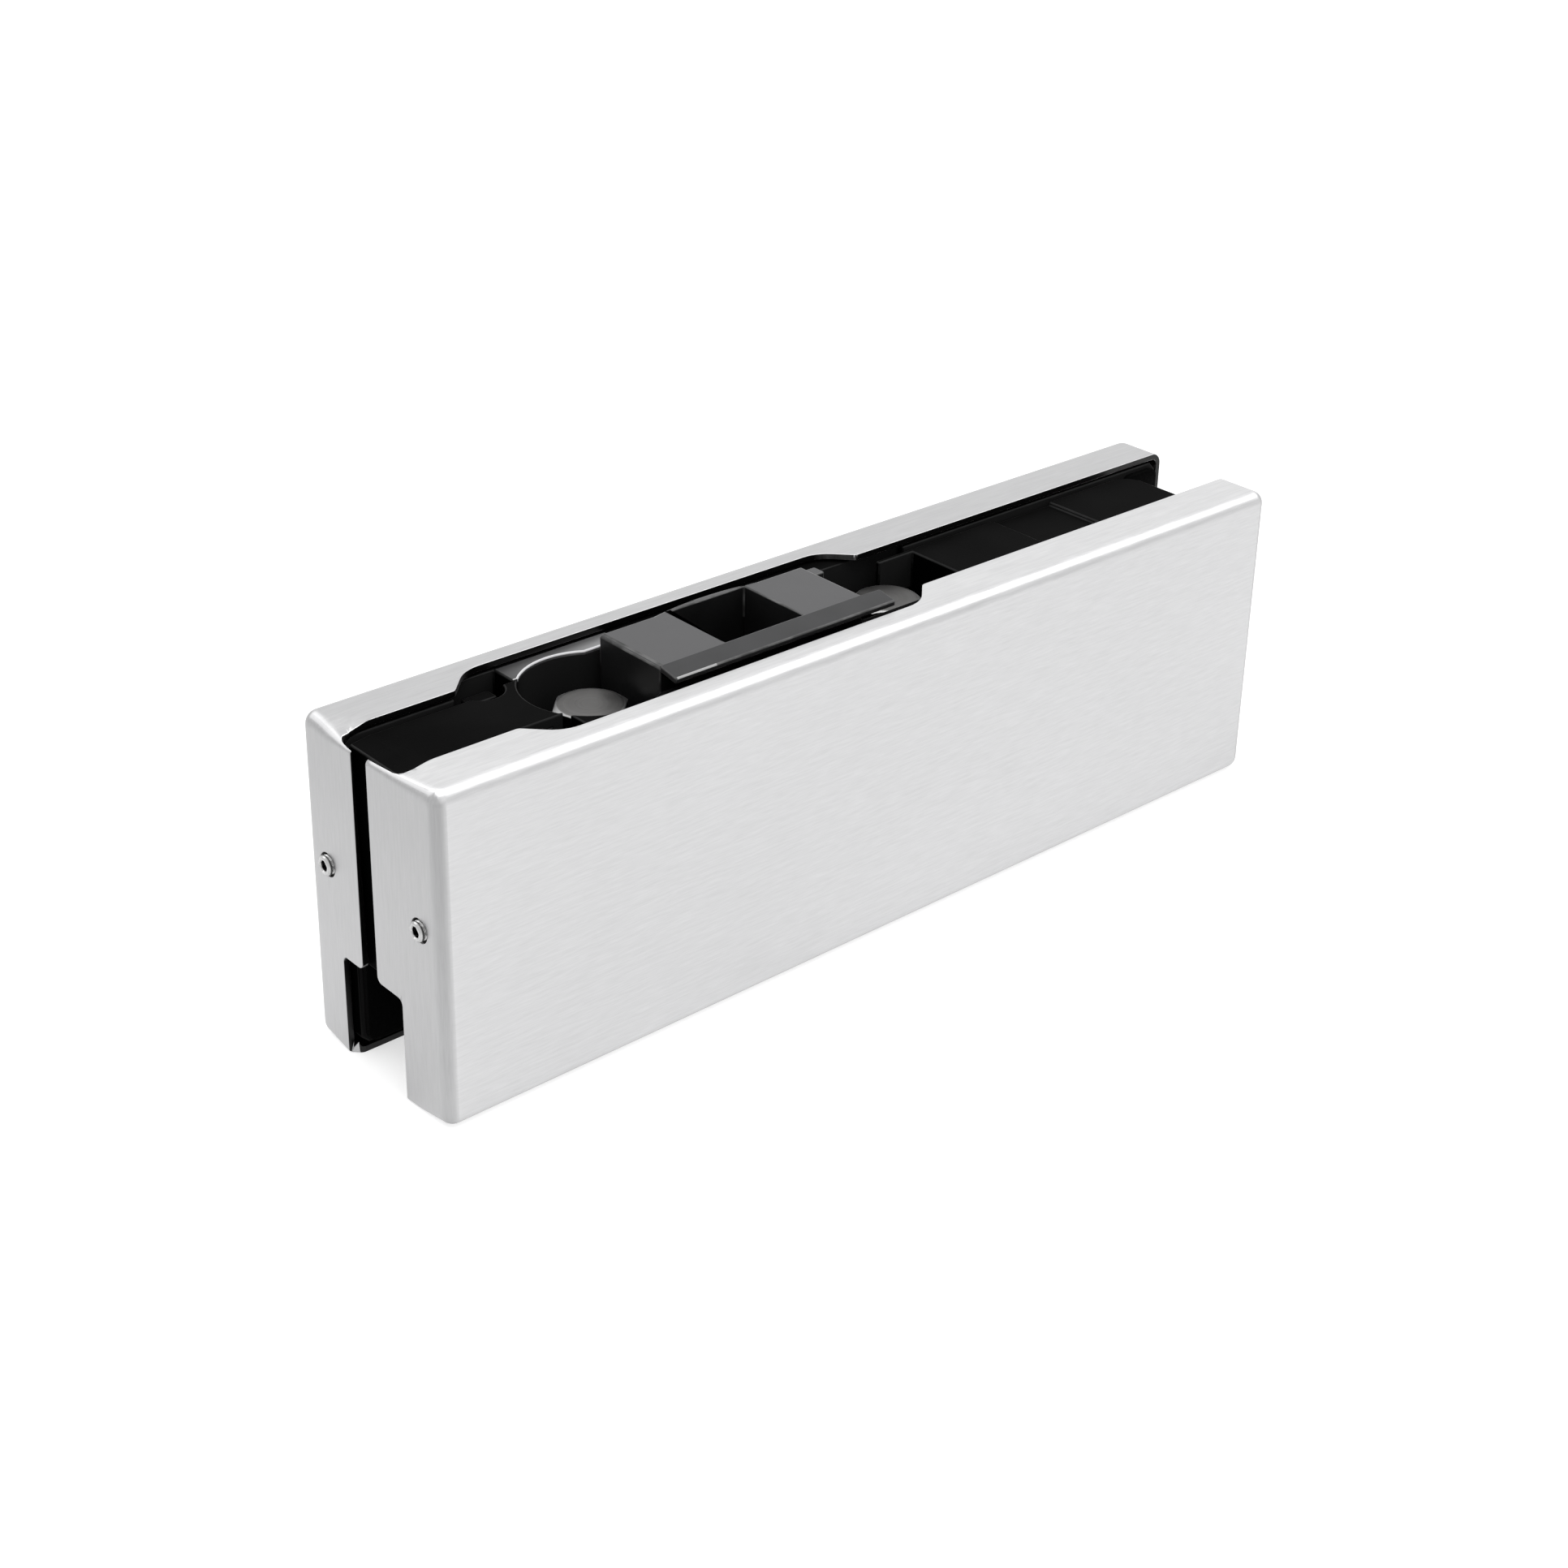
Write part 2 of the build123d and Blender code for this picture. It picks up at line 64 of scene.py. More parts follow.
# Angle up to which faces are shaded as one, angle up to which they count as one plane, and
# distance up to which points touch
SMOOTH_ANGLE = radians(32)
FLAT_ANGLE = radians(0.4)
TOUCH = 0.001 * MM

CLAMP_SCREWS = ("left", "middle", "right")
COVER_SCREWS = ("front_left", "front_right", "back_left", "back_right")
CASTINGS = ("front_casting", "back_casting")

# Where the pocket's rim is milled, with a painted highlight on its edge, where the insert's lip
# edge gets a painted highlight, and the heights between which black edges get a painted
# highlight, with painted shade below them, all in millimetres
MILLED_RIM = {"X": (-53.2, -33.9), "Y": (7.25, 11.6), "Z": (49.0, 50.0)}
LIP_HIGHLIGHT = {"X": (-38.2, -31.0), "Y": (-10.5, -9.7), "Z": (51.2, 52.3)}
HIGHLIGHT_TOP = {"Z": (47.5, 60.0)}

# Sheet and bend of the covers, the rows that let their left end droop, the least distance
# from a bend's axis that counts, and the least radius that a bend keeps
SHEET = 1.0 * MM
BEND = 2.1 * MM
DROOP_LENGTH = 5.0 * MM
DROOP_DEPTH = 4.0 * MM
DROOP_ROWS = 8
FLANGE_ROWS = np.arange(-13.2, 13.3, 1.2) * MM
LEAST_REACH = 0.2 * MM
LEAST_BEND = 0.05 * MM

# Depth of a thread as a share of its pitch, its rows per turn, the rounding of a hexagon's
# corners and the radius at which a turned piece's map is true to size
THREAD_DEPTH = 0.61
THREAD_ROWS = 10
CORNER_SHARE = 0.985
MAP_RADIUS = 2.0 * MM


# Meshes


def place(name, mesh, body, nodes, finish):
    """Puts a finished mesh in the scene for CAD nodes, on their body and with their finish."""
    piece = bpy.data.objects.new(name, mesh)
    bpy.context.scene.collection.objects.link(piece)
    piece.data.materials.clear()
    piece.data.materials.append(finish)
    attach(piece, body)
    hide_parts(*nodes)
    return piece


def grid_mesh(name, points, closed_rows=False, uv=None):
    """Mesh of a surface given at rows and columns of points.

    points[i, j] is the place at row i and column j. Columns always close on themselves.
    With closed_rows the last row joins the first, as on a ring. Otherwise each end row is
    closed by a fan to its own middle. uv[i, j] holds the pattern's place on the surface.
    """
    rows, columns = points.shape[:2]
    number = np.arange(rows * columns).reshape(rows, columns)
    across = np.roll(number, -1, axis=1)
    low = number if closed_rows else number[:-1]
    low_next = across if closed_rows else across[:-1]
    high = np.roll(number, -1, axis=0) if closed_rows else number[1:]
    high_next = np.roll(across, -1, axis=0) if closed_rows else across[1:]
    quads = np.stack([low, low_next, high_next, high], -1).reshape(-1, 4)
    places = points.reshape(-1, 3)
    faces = quads.tolist()
    if not closed_rows:
        middles = np.stack([points[0].mean(0), points[-1].mean(0)])
        first, last = len(places), len(places) + 1
        places = np.concatenate([places, middles])
        head = np.stack([across[0], number[0], np.full(columns, first)], -1)
        tail = np.stack([number[-1], across[-1], np.full(columns, last)], -1)
        faces += head.tolist() + tail.tolist()
    mesh = bpy.data.meshes.new(name)
    mesh.from_pydata(places.tolist(), [], faces)
    if uv is not None:
        flat = uv.reshape(-1, 2)
        if not closed_rows:
            flat = np.concatenate([flat, np.stack([uv[0].mean(0), uv[-1].mean(0)])])
        corners = np.zeros(len(mesh.loops), np.int32)
        mesh.loops.foreach_get("vertex_index", corners)
        layer = mesh.uv_layers.new(name="Profile")
        layer.data.foreach_set("uv", flat[corners].astype(np.float32).ravel())
    return tidy_mesh(mesh)


def tidy_mesh(mesh):
    """Merges doubled points, turns the faces outwards and shades them smooth up to an edge."""
    work = bmesh.new()
    work.from_mesh(mesh)
    bmesh.ops.remove_doubles(work, verts=work.verts, dist=0.1 * TOUCH)
    bmesh.ops.dissolve_degenerate(work, edges=work.edges, dist=0.01 * TOUCH)
    bmesh.ops.recalc_face_normals(work, faces=work.faces)
    work.to_mesh(mesh)
    work.free()
    mesh.shade_smooth()
    mesh.set_sharp_from_angle(angle=SMOOTH_ANGLE)
    return mesh


def dressed_end(mesh, low, high, dressing):
    """Lowers the top of a cover's left end and tightens its bends towards the gap.

    dressing holds rows for the top and rows for the foot. A row for the top has a distance
    from the middle plane, the drop at the end flange there and the outer radius of the upper
    bend. A row for the foot has a distance and the radius of the lower bend. A point of a
    bend keeps its angle and its depth in the sheet, and moves to the tighter arc that
    touches the same two faces. The drop fades along the length over DROOP_LENGTH, by
    1 - s * s * (3 - 2 * s) with s from 0 to 1.
    """
    top_rows, foot_rows = dressing
    inner = low.x + SHEET
    work = bmesh.new()
    work.from_mesh(mesh)
    cuts = [(0, x) for x in np.linspace(inner + DROOP_LENGTH, inner, DROOP_ROWS)]
    cuts += [(1, y) for y in FLANGE_ROWS]
    limit = inner + DROOP_LENGTH - TOUCH
    for axis, distance in cuts:
        normal = Vector(np.eye(3)[axis])
        end = [face for face in work.faces if min(v.co.x for v in face.verts) < limit]
        edges = dict.fromkeys(edge for face in end for edge in face.edges)
        corners = dict.fromkeys(corner for edge in edges for corner in edge.verts)
        bmesh.ops.bisect_plane(
            work,
            geom=[*corners, *edges, *end],
            dist=TOUCH,
            plane_co=normal * distance,
            plane_no=normal,
        )
    work.to_mesh(mesh)
    work.free()
    points = mesh_points(mesh)
    x, y, z = points.T
    from_middle, drops, radii = np.array(top_rows).T * MM
    drop = np.interp(np.abs(y), from_middle, drops)
    top_bend = np.interp(np.abs(y), from_middle, radii)
    foot_bend = np.interp(np.abs(y), *np.array(foot_rows).T * MM)
    for bend, face, out in ((top_bend, high.z, 1), (foot_bend, low.z, -1)):
        aside, beyond = low.x + BEND - x, out * (z - face) + BEND
        reach = np.hypot(aside, beyond)
        arc = (aside > 0) & (beyond > 0) & (reach > LEAST_REACH)
        tight = np.maximum(np.minimum(reach, BEND) - BEND + bend, LEAST_BEND)
        depth = tight / np.maximum(reach, LEAST_REACH)
        x[:] = np.where(arc, low.x + bend - depth * aside, x)
        z[:] = np.where(arc, face + out * (depth * beyond - bend), z)
    share = np.clip((x - inner) / DROOP_LENGTH, 0.0, 1.0)
    z -= np.where(z > high.z - DROOP_DEPTH, drop * (1 - share * share * (3 - 2 * share)), 0.0)
    mesh.vertices.foreach_set("co", points.ravel())
    mesh.shade_smooth()
    mesh.set_sharp_from_angle(angle=SMOOTH_ANGLE)


def mesh_points(mesh):
    """The places of a mesh's points, one row each."""
    points = np.zeros(len(mesh.vertices) * 3, np.float32)
    mesh.vertices.foreach_get("co", points)
    return points.reshape(-1, 3)


def apply_in_box(piece, low, high):
    """Applies a piece's modifiers and pulls what they pushed out of the box back into it."""
    shaped = piece.evaluated_get(bpy.context.evaluated_depsgraph_get())
    mesh = bpy.data.meshes.new_from_object(shaped)
    points = np.clip(mesh_points(mesh), np.array(low), np.array(high)).astype(np.float32)
    mesh.vertices.foreach_set("co", points.ravel())
    piece.modifiers.clear()
    rough = piece.data
    piece.data = mesh
    bpy.data.meshes.remove(rough)
    mesh.name = piece.name


def softened(
    node, name, bevel, finish, edge_finish=None, smooth=SMOOTH_ANGLE, dressing=None
):
    """Copy of a CAD node, merged, with its flat areas joined and its edges broken by a bevel.

    The bevel may have a finish of its own, as where an edge gets a painted highlight. Edges
    sharper than smooth stay sharp. dressing shapes the left end of a cover.
    """
    low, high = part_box(node)
    mesh = bpy.data.meshes.new(name)
    work = bmesh.new()
    work.from_mesh(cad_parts[node].data)
    bmesh.ops.remove_doubles(work, verts=work.verts, dist=2 * TOUCH)
    bmesh.ops.dissolve_limit(work, angle_limit=FLAT_ANGLE, verts=work.verts, edges=work.edges)
    work.to_mesh(mesh)
    work.free()
    mesh.shade_smooth()
    mesh.set_sharp_from_angle(angle=smooth)
    body = "insert" if node == "spindle_insert" else "clamp"
    piece = place(name, mesh, body, [node], finish)
    edge = piece.modifiers.new("Broken edges", "BEVEL")
    edge.width = bevel
    edge.segments = 2
    edge.limit_method = "ANGLE"
    edge.angle_limit = SMOOTH_ANGLE
    edge.use_clamp_overlap = False
    edge.harden_normals = True
    if edge_finish is not None:
        mesh.materials.append(edge_finish)
        edge.material = 1
    apply_in_box(piece, low, high)
    if dressing is not None:
        dressed_end(piece.data, low, high, dressing)
    even = piece.modifiers.new("Even shading", "WEIGHTED_NORMAL")
    even.keep_sharp = True
    return piece


def round_angles(columns):
    """Angles of evenly spaced columns round a full turn."""
    return np.arange(columns) / columns * 2 * pi


def hexagon(angles, flats, turn):
    """Distance from the middle to the wall of a hexagon, at each angle.

    It is half the flats over the cosine of the angle to the nearest flat's middle, and no
    more than a share of the distance to a corner, which rounds the corners.
    """
    to_flat = (angles - turn) % (pi / 3) - pi / 6
    reach = flats / 2 / np.cos(to_flat)
    return np.minimum(reach, CORNER_SHARE * flats / 2 / np.cos(pi / 6))


def thread_rows(angles, radius, pitch, start, end):
    """Rows of a right-hand screw thread along a shank, from height start down to height end.

    At each height the radius is the crest's less the thread's depth times a wave that rises
    and falls once a pitch and lags by a full pitch round the shank. The wave is cut flat at
    crest and root and fades out over the first and last turn.
    """
    count = max(int(round((start - end) / pitch * THREAD_ROWS)), 2)
    heights = np.linspace(start, end, count + 1)
    phase = (heights[:, None] / pitch - angles[None, :] / (2 * pi)) % 1.0
    wave = np.clip(1.5 * np.abs(2 * phase - 1) - 0.2, 0.0, 1.0)
    fade = np.clip(np.minimum(start - heights, heights - end) / pitch, 0.0, 1.0)
    radii = radius - THREAD_DEPTH * pitch * wave * fade[:, None]
    return [(radii[i], heights[i]) for i in range(count + 1)]


def turned_piece(name, rows, columns, origin, across, along, closed=False):
    """Mesh of a turned or milled fastener from rows of (radius, height).

    A point at angle a in a row lies at the origin, plus radius times cosine a along the first
    cross axis, plus radius times sine a along the second, plus the height along the axis.
    """
    angles = round_angles(columns)
    radii = np.stack([np.broadcast_to(r, columns) for r, _ in rows])
    heights = np.stack([np.broadcast_to(h, columns) for _, h in rows])
    along = np.array(along, float)
    across = np.array(across, float)
    side = np.cross(along, across)
    points = (
        np.array(origin, float)
        + (radii * np.cos(angles))[..., None] * across
        + (radii * np.sin(angles))[..., None] * side
        + heights[..., None] * along
    )
    uv = np.stack([radii, np.broadcast_to(angles * MAP_RADIUS, radii.shape)], -1)
    return grid_mesh(name, points, closed, uv)


def sheet_mesh(name, points):
    """Mesh of a flat sheet from rows of points round its edge, closed by one face each side."""
    rows, columns = points.shape[:2]
    number = np.arange(rows * columns).reshape(rows, columns)
    across = np.roll(number, -1, axis=1)
    quads = np.stack([number[:-1], across[:-1], across[1:], number[1:]], -1).reshape(-1, 4)
    mesh = bpy.data.meshes.new(name)
    faces = quads.tolist() + [number[0][::-1].tolist(), number[-1].tolist()]
    mesh.from_pydata(points.reshape(-1, 3).tolist(), [], faces)
    return tidy_mesh(mesh)


# Finishes


class NodeTree:
    """Node tree that is put together node by node."""

    def __init__(self, tree):
        self.tree = tree
        tree.nodes.clear()

    def add(self, kind, settings=None, **inputs):
        """Adds a node. Each input is a value or another node's output.

        An input is given by its name with underscores for spaces, or as i and its number.
        """
        node = self.tree.nodes.new(kind)
        for key, value in (settings or {}).items():
            setattr(node, key, value)
        for key, value in inputs.items():
            numbered = key[0] == "i" and key[1:].isdigit()
            socket = node.inputs[int(key[1:]) if numbered else key.replace("_", " ")]
            if isinstance(value, bpy.types.NodeSocket):
                self.tree.links.new(value, socket)
            else:
                socket.default_value = value
        return node

    def finish_with(self, kind, shader):
        """Leads a shader's light to the tree's output."""
        output = self.add(kind)
        self.tree.links.new(shader.outputs[0], output.inputs[0])

    def maths(self, operation, first, second=0.0):
        """Result of a sum on one or two values."""
        node = self.add("ShaderNodeMath", {"operation": operation}, i0=first, i1=second)
        return node.outputs[0]

    def mix_values(self, share, first, second):
        """Mix of two values, in which share is the share of the second."""
        node = self.add("ShaderNodeMix", i0=share, i2=first, i3=second)
        return node.outputs[0]

    def rays(self):
        """The kinds of ray that a light path node tells apart."""
        return self.add("ShaderNodeLightPath").outputs


class Finish(NodeTree):
    """Material of one finish."""

    def __init__(self, name):
        self.material = bpy.data.materials.new(name)
        self.material.use_nodes = True
        super().__init__(self.material.node_tree)
        self.coordinates = self.add("ShaderNodeTexCoord")

    def axes(self, source):
        """The parts of the object coordinates, of the normal or of the piece's own map."""
        vector = self.coordinates.outputs[source]
        return self.add("ShaderNodeSeparateXYZ", Vector=vector).outputs

    def facing(self, part, start, end):
        """0 where a part of the normal is smaller than start, 1 where it is larger than end."""
        return self.range(self.maths("ABSOLUTE", part), 0.0, 1.0, start, end)

    def noise(self, scale, stretch=(1, 1, 1), detail=3.0, source="Object"):
        """Noise between 0 and 1, with its cells stretched along the axes."""
        vector = self.coordinates.outputs[source]
        mapping = self.add("ShaderNodeMapping", Vector=vector, Scale=stretch)
        noise = self.add(
            "ShaderNodeTexNoise", Vector=mapping.outputs[0], Scale=scale, Detail=detail
        )
        return noise.outputs["Fac"]

    def range(self, value, low, high, start=0.0, end=1.0):
        """value moved from the span start to end to the span low to high."""
        node = self.add("ShaderNodeMapRange", Value=value, i1=start, i2=end, i3=low, i4=high)
        return node.outputs[0]

    def within(self, spans, soft=0.15):
        """1 where the object coordinates lie in their spans in millimetres, 0 outside."""
        axes = self.axes("Object")
        share = 1.0
        for axis, (low, high) in spans.items():
            for start, end in ((low, low + soft), (high, high - soft)):
                inside = self.range(axes[axis], 0.0, 1.0, start * MM, end * MM)
                share = self.maths("MULTIPLY", inside, share)
        return share

    def mix(self, share, first, second):
        """Mix of two colours, in which share is the share of the second."""
        node = self.add("ShaderNodeMix", {"data_type": "RGBA"}, i0=share, i6=first, i7=second)
        return node.outputs[2]

    def shader(self, relief=None, **inputs):
        """The surface, with an optional height, its strength and its depth as relief."""
        surface = self.add("ShaderNodeBsdfPrincipled", **inputs)
        if relief is not None:
            height, strength, depth = relief
            bump = self.add("ShaderNodeBump", Strength=strength, Distance=depth, Height=height)
            self.tree.links.new(bump.outputs[0], surface.inputs["Normal"])
        self.finish_with("ShaderNodeOutputMaterial", surface)
        return self.material


def shaded(colour, factor=1.0):
    """A colour made darker or lighter by a factor, with its opacity."""
    return tuple(min(part * factor, 1.0) for part in colour) + (1.0,)


def grey(light):
    """A grey between 0 for black and 1 for white, with its opacity."""
    return (light, light, light, 1.0)


def brushed_steel(look, name, lit_top_tint):
    """Stainless sheet, brushed along its length on its long faces and upright at its ends.

    The ends and the top flanges get tints of their own: painted shade on the ends, and painted
    light and shade on the two top flanges. The ends get painted shade upwards, upright corners
    get painted shade, and so do sheared edges and the foot's inner face.
    """
    finish = Finish(name)
    normal = finish.axes("Normal")
    height = finish.axes("Object")[2]
    endways = finish.maths("ABSOLUTE", normal[0])
    facing_end = finish.facing(normal[0], 0.12, 0.5)
    facing_up = finish.range(normal[2], 0.0, 1.0, 0.8, 0.97)

    # Brush marks of two sizes, and faint clouds
    long, wide = 1 / look.grain_length, 1 / look.grain_width
    layers = []
    for size in (1.0, 2.6):
        lengthwise = finish.noise(1.0, (long * size, wide * size, wide * size))
        upright = finish.noise(1.0, (wide * size, wide * size, long * size))
        layers.append(finish.mix_values(facing_end, lengthwise, upright))
    grain = finish.mix_values(0.45, layers[0], layers[1])
    cloud = finish.noise(22.0, (1, 1.6, 1.6), 2.0)
    marks = finish.range(grain, -0.13, 0.13, 0.25, 0.75)
    tone = finish.maths("ADD", marks, finish.range(cloud, -0.012, 0.012, 0.3, 0.7))
    light = finish.range(tone, 0.0, 1.0, -0.08, 0.08)
    # The ends get a tint of painted shade, the top flanges tints of painted light and shade
    tints = (look.colour, look.shaded_end_tint, lit_top_tint)
    side, end, top = [finish.mix(light, shaded(t, 0.94), shaded(t, 1.06)) for t in tints]

    # Painted light and shade on the faces, each over the one before
    # Painted shade that darkens the ends towards their top
    dim = finish.range(height, 1.0, look.end_fade, 5 * MM, 45 * MM)
    colour = finish.mix(facing_end, side, finish.mix(dim, grey(0.0), end))
    # Painted shade on the upright corner bends
    corner = finish.maths("MULTIPLY", endways, finish.maths("ABSOLUTE", normal[1]))
    not_top = finish.range(normal[2], 1.0, 0.0, 0.1, 0.4)
    corner = finish.maths("MULTIPLY", corner, not_top)
    colour = finish.mix(finish.range(corner, 0.0, 0.16, 0.1, 0.45), colour, grey(0.0))
    # Painted light and shade on the top flange
    colour = finish.mix(facing_up, colour, top)
    # Painted shade on the sheared edges that face the gap
    facing_gap = finish.facing(normal[1], 0.8, 0.95)
    sheared = finish.maths("MULTIPLY", facing_gap, finish.within({"Y": (-12.6, 12.6)}))
    colour = finish.mix(sheared, colour, shaded(look.sheared_shade_colour))
    # Painted shade on the foot's inner face
    upwards = finish.range(normal[2], 0.0, 1.0, 0.2, 0.5)
    low = finish.range(height, 1.0, 0.0, 3 * MM, 4 * MM)
    foot = finish.maths("MULTIPLY", upwards, low)
    colour = finish.mix(foot, colour, shaded(look.sheared_shade_colour))
    return finish.shader(
        relief=(grain, 0.25, 0.012 * MM),
        Base_Color=colour,
        Metallic=1.0,
        Roughness=finish.range(grain, look.roughness - 0.05, look.roughness + 0.06, 0.3, 0.7),
    )


def black_casting(look):
    """Black coated casting, a little uneven, and bare grey on the milled rim of its pocket.

    The coat gets painted light on walls along the length and painted shade on those across it.
    The milled rim gets painted shadow at its left end, which fades along the length.
    """
    finish = Finish("Black coated casting")
    pebble = finish.noise(1.0 / look.grain_size, (1, 1, 1), 2.0)
    cloud = finish.noise(60.0, (1, 1, 1), 3.0)
    normal = finish.axes("Normal")
    patches = finish.range(cloud, 0.0, 1.0, 0.35, 0.7)
    coat = finish.mix(patches, shaded(look.colour), shaded(look.cloud_colour))
    # Painted light on the walls along the length
    coat = finish.mix(finish.facing(normal[1], 0.6, 0.9), coat, shaded(look.lit_wall_colour))
    # Painted shade on the faces across the length, as in the gap at the left end
    coat = finish.mix(finish.facing(normal[0], 0.6, 0.9), coat, shaded(look.colour, 0.25))
    # Painted shadow of the cover's flange over the milled rim's left end, fading along the length
    along = finish.range(finish.axes("Object")[0], 0.0, 1.0, -54 * MM, -36 * MM)
    milled = finish.mix(along, shaded(look.milled_colour, 0.25), shaded(look.milled_colour))
    bare = finish.within(MILLED_RIM)
    return finish.shader(
        relief=(pebble, 0.35, 0.03 * MM),
        Base_Color=finish.mix(bare, coat, milled),
        Metallic=finish.maths("MULTIPLY", bare, 0.9),
        Roughness=finish.range(cloud, look.roughness - 0.06, look.roughness + 0.08, 0.3, 0.7),
        Specular_IOR_Level=0.005,
    )


def highlighted_edge(name, look, rim, roughness, specular):
    """Edge of a black piece, painted a little lighter here and there as highlight.

    Only edges near the top get it and lower edges get painted shade. Those within the spans of
    the rim get a bright painted highlight.
    """
    finish = Finish(name)
    wear = finish.noise(300.0, (1, 1, 1), 3.0)
    patches = finish.range(wear, 0.0, 1.0, 0.4, 0.66)
    # Patchy painted highlight on the edges
    shade = finish.mix(patches, shaded(look.edge_highlight_colour, 0.35), shaded(look.edge_highlight_colour, 1.5))
    # Painted shade on the edges below the top
    shade = finish.mix(finish.within(HIGHLIGHT_TOP), grey(0.001), shade)
    # Bright painted highlight on the edges within the rim's spans
    shade = finish.mix(finish.within(rim), shade, shaded(look.rim_highlight_colour))
    return finish.shader(
        Base_Color=shade,
        Roughness=finish.range(wear, roughness - 0.05, roughness + 0.05, 0.3, 0.7),
        Specular_IOR_Level=specular,
    )


def satin_black(look):
    """Satin black insert, with painted sheen on its flat top and painted shade on upright sides.
    """
    finish = Finish("Satin black")
    facing_up = finish.axes("Normal")[2]
    cloud = finish.noise(130.0, (1, 1, 1), 3.0)
    fine = finish.noise(4000.0, (0.3, 1, 1), 2.0)
    patches = finish.range(cloud, 0.0, 1.0, 0.3, 0.7)
    side = finish.mix(patches, shaded(look.side_colour), shaded(look.side_colour, 1.5))
    # Painted shade on the upright sides
    upright = finish.range(facing_up, 0.0, 1.0, 0.5, 0.2)
    side = finish.mix(upright, side, shaded(look.side_colour, 0.25))
    patches = finish.range(cloud, 0.0, 1.0, 0.3, 0.75)
    top = finish.mix(patches, shaded(look.lit_top_tint), shaded(look.lit_top_tint, 1.15))
    # Painted sheen on the flat top, where the faces point straight up
    flat_top_sheen = finish.range(facing_up, 0.0, 1.0, 0.988, 0.996)
    return finish.shader(
        relief=(fine, 0.15, 0.01 * MM),
        Base_Color=finish.mix(flat_top_sheen, side, top),
        Roughness=finish.range(cloud, look.roughness - 0.04, look.roughness + 0.06, 0.3, 0.7),
        Specular_IOR_Level=0.35,
    )


def turned_steel(name, colour, roughness, bright=None, chamfer=None):
    """Plated steel with the fine rings that turning leaves, read from the piece's own map.

    bright is the span of distance from the axis, in millimetres, outside of which the steel
    gets painted shade, as in a screw's socket and on its thread. chamfer is the distance beyond
    which the steel gets a painted highlight where it faces up and painted shade on its flats, as
    on a bolt's head.
    """
    finish = Finish(name)
    rings = finish.noise(1.0, (5000, 40, 1), 1.0, "UV")
    cloud = finish.noise(240.0, (1, 1, 1), 2.0)
    tone = finish.range(finish.mix_values(0.6, rings, cloud), 0.0, 1.0, 0.35, 0.65)
    shade = finish.mix(tone, shaded(colour, 0.86), shaded(colour, 1.12))
    reach = finish.axes("UV")[0]
    # Painted shade in the socket and on the thread, outside the bright span
    if bright is not None:
        for edge, soft in zip(bright, (0.05, -0.05)):
            lit = finish.range(reach, 0.0, 1.0, (edge - soft) * MM, (edge + soft) * MM)
            shade = finish.mix(lit, grey(0.004), shade)
    # Painted highlight on the chamfer where it faces up, painted shade on the hexagon's flats
    if chamfer is not None:
        beyond = finish.range(reach, 0.0, 1.0, (chamfer - 0.05) * MM, (chamfer + 0.05) * MM)
        facing_up = finish.range(finish.axes("Normal")[2], 0.0, 1.0, 0.4, 0.7)
        outside = finish.mix(facing_up, grey(0.01), grey(0.3))
        shade = finish.mix(beyond, shade, outside)
    return finish.shader(
        relief=(rings, 0.08, 0.01 * MM),
        Base_Color=shade,
        Metallic=1.0,
        Roughness=finish.range(cloud, roughness - 0.05, roughness + 0.07, 0.3, 0.7),
    )


def gasket_rubber(look):
    """Matt black gasket with a fine pebbled skin."""
    finish = Finish("Gasket rubber")
    pebble = finish.noise(2600.0, (1, 1, 1), 2.0)
    cloud = finish.noise(90.0, (1, 1, 1), 2.0)
    patches = finish.range(cloud, 0.0, 1.0, 0.3, 0.7)
    return finish.shader(
        relief=(pebble, 0.4, 0.04 * MM),
        Base_Color=finish.mix(patches, shaded(look.colour), shaded(look.colour, 1.6)),
        Roughness=finish.range(pebble, 0.62, 0.82, 0.3, 0.7),
        Specular_IOR_Level=0.02,
    )


# Settings that a user would change


def a_colour(name, description, default):
    """Setting for a colour."""
    return FloatVectorProperty(
        name=name,
        description=description,
        subtype="COLOR",
        size=3,
        min=0,
        max=1,
        default=default,
    )


def a_length(name, description, default):
    """Setting for a length in metres."""
    return FloatProperty(
        name=name,
        description=description,
        subtype="DISTANCE",
        unit="LENGTH",
        min=0,
        default=default,
    )


def a_share(name, description, default):
    """Setting for a share from 0 to 1."""
    return FloatProperty(
        name=name, description=description, subtype="FACTOR", min=0, max=1, default=default
    )


def a_power(name, description, default):
    """Setting for a lamp's power in watts."""
    return FloatProperty(name=name, description=description, unit="POWER", default=default)


class CoverLook(bpy.types.PropertyGroup):
    """Finish of the covers."""

    colour: a_colour("Steel colour", "Colour of the long faces", (0.6, 0.6, 0.605))
    # The end and top colours are tints of painted shade and painted light on the one steel
    shaded_end_tint: a_colour("End colour", "Painted shade of the ends, brushed upright", (0.49, 0.49, 0.495))
    lit_top_tint: a_colour("Top colour", "Colour of the front top flange", (0.71, 0.71, 0.715))
    lit_back_top_tint: a_colour("Back top colour", "Colour of the back one", (0.565, 0.565, 0.57))
    # Painted shade on the sheared edges and the foot's inner face
    sheared_shade_colour: a_colour("Sheared colour", "Painted shade of the sheared edges and the foot", (0.03, 0.03, 0.03))
    # Painted shade that darkens an end towards its top
    end_fade: a_share("End fade", "Brightness of an end's top over its foot", 0.85)
    roughness: a_share("Roughness", "How matt the brushing is", 0.33)
    grain_length: a_length("Grain length", "Length of the brush marks", 6.5 * MM)
    grain_width: a_length("Grain width", "Width of the brush marks", 0.4 * MM)
    edge: a_length("Edge bevel", "Broken edge of the sheet", 0.1 * MM)


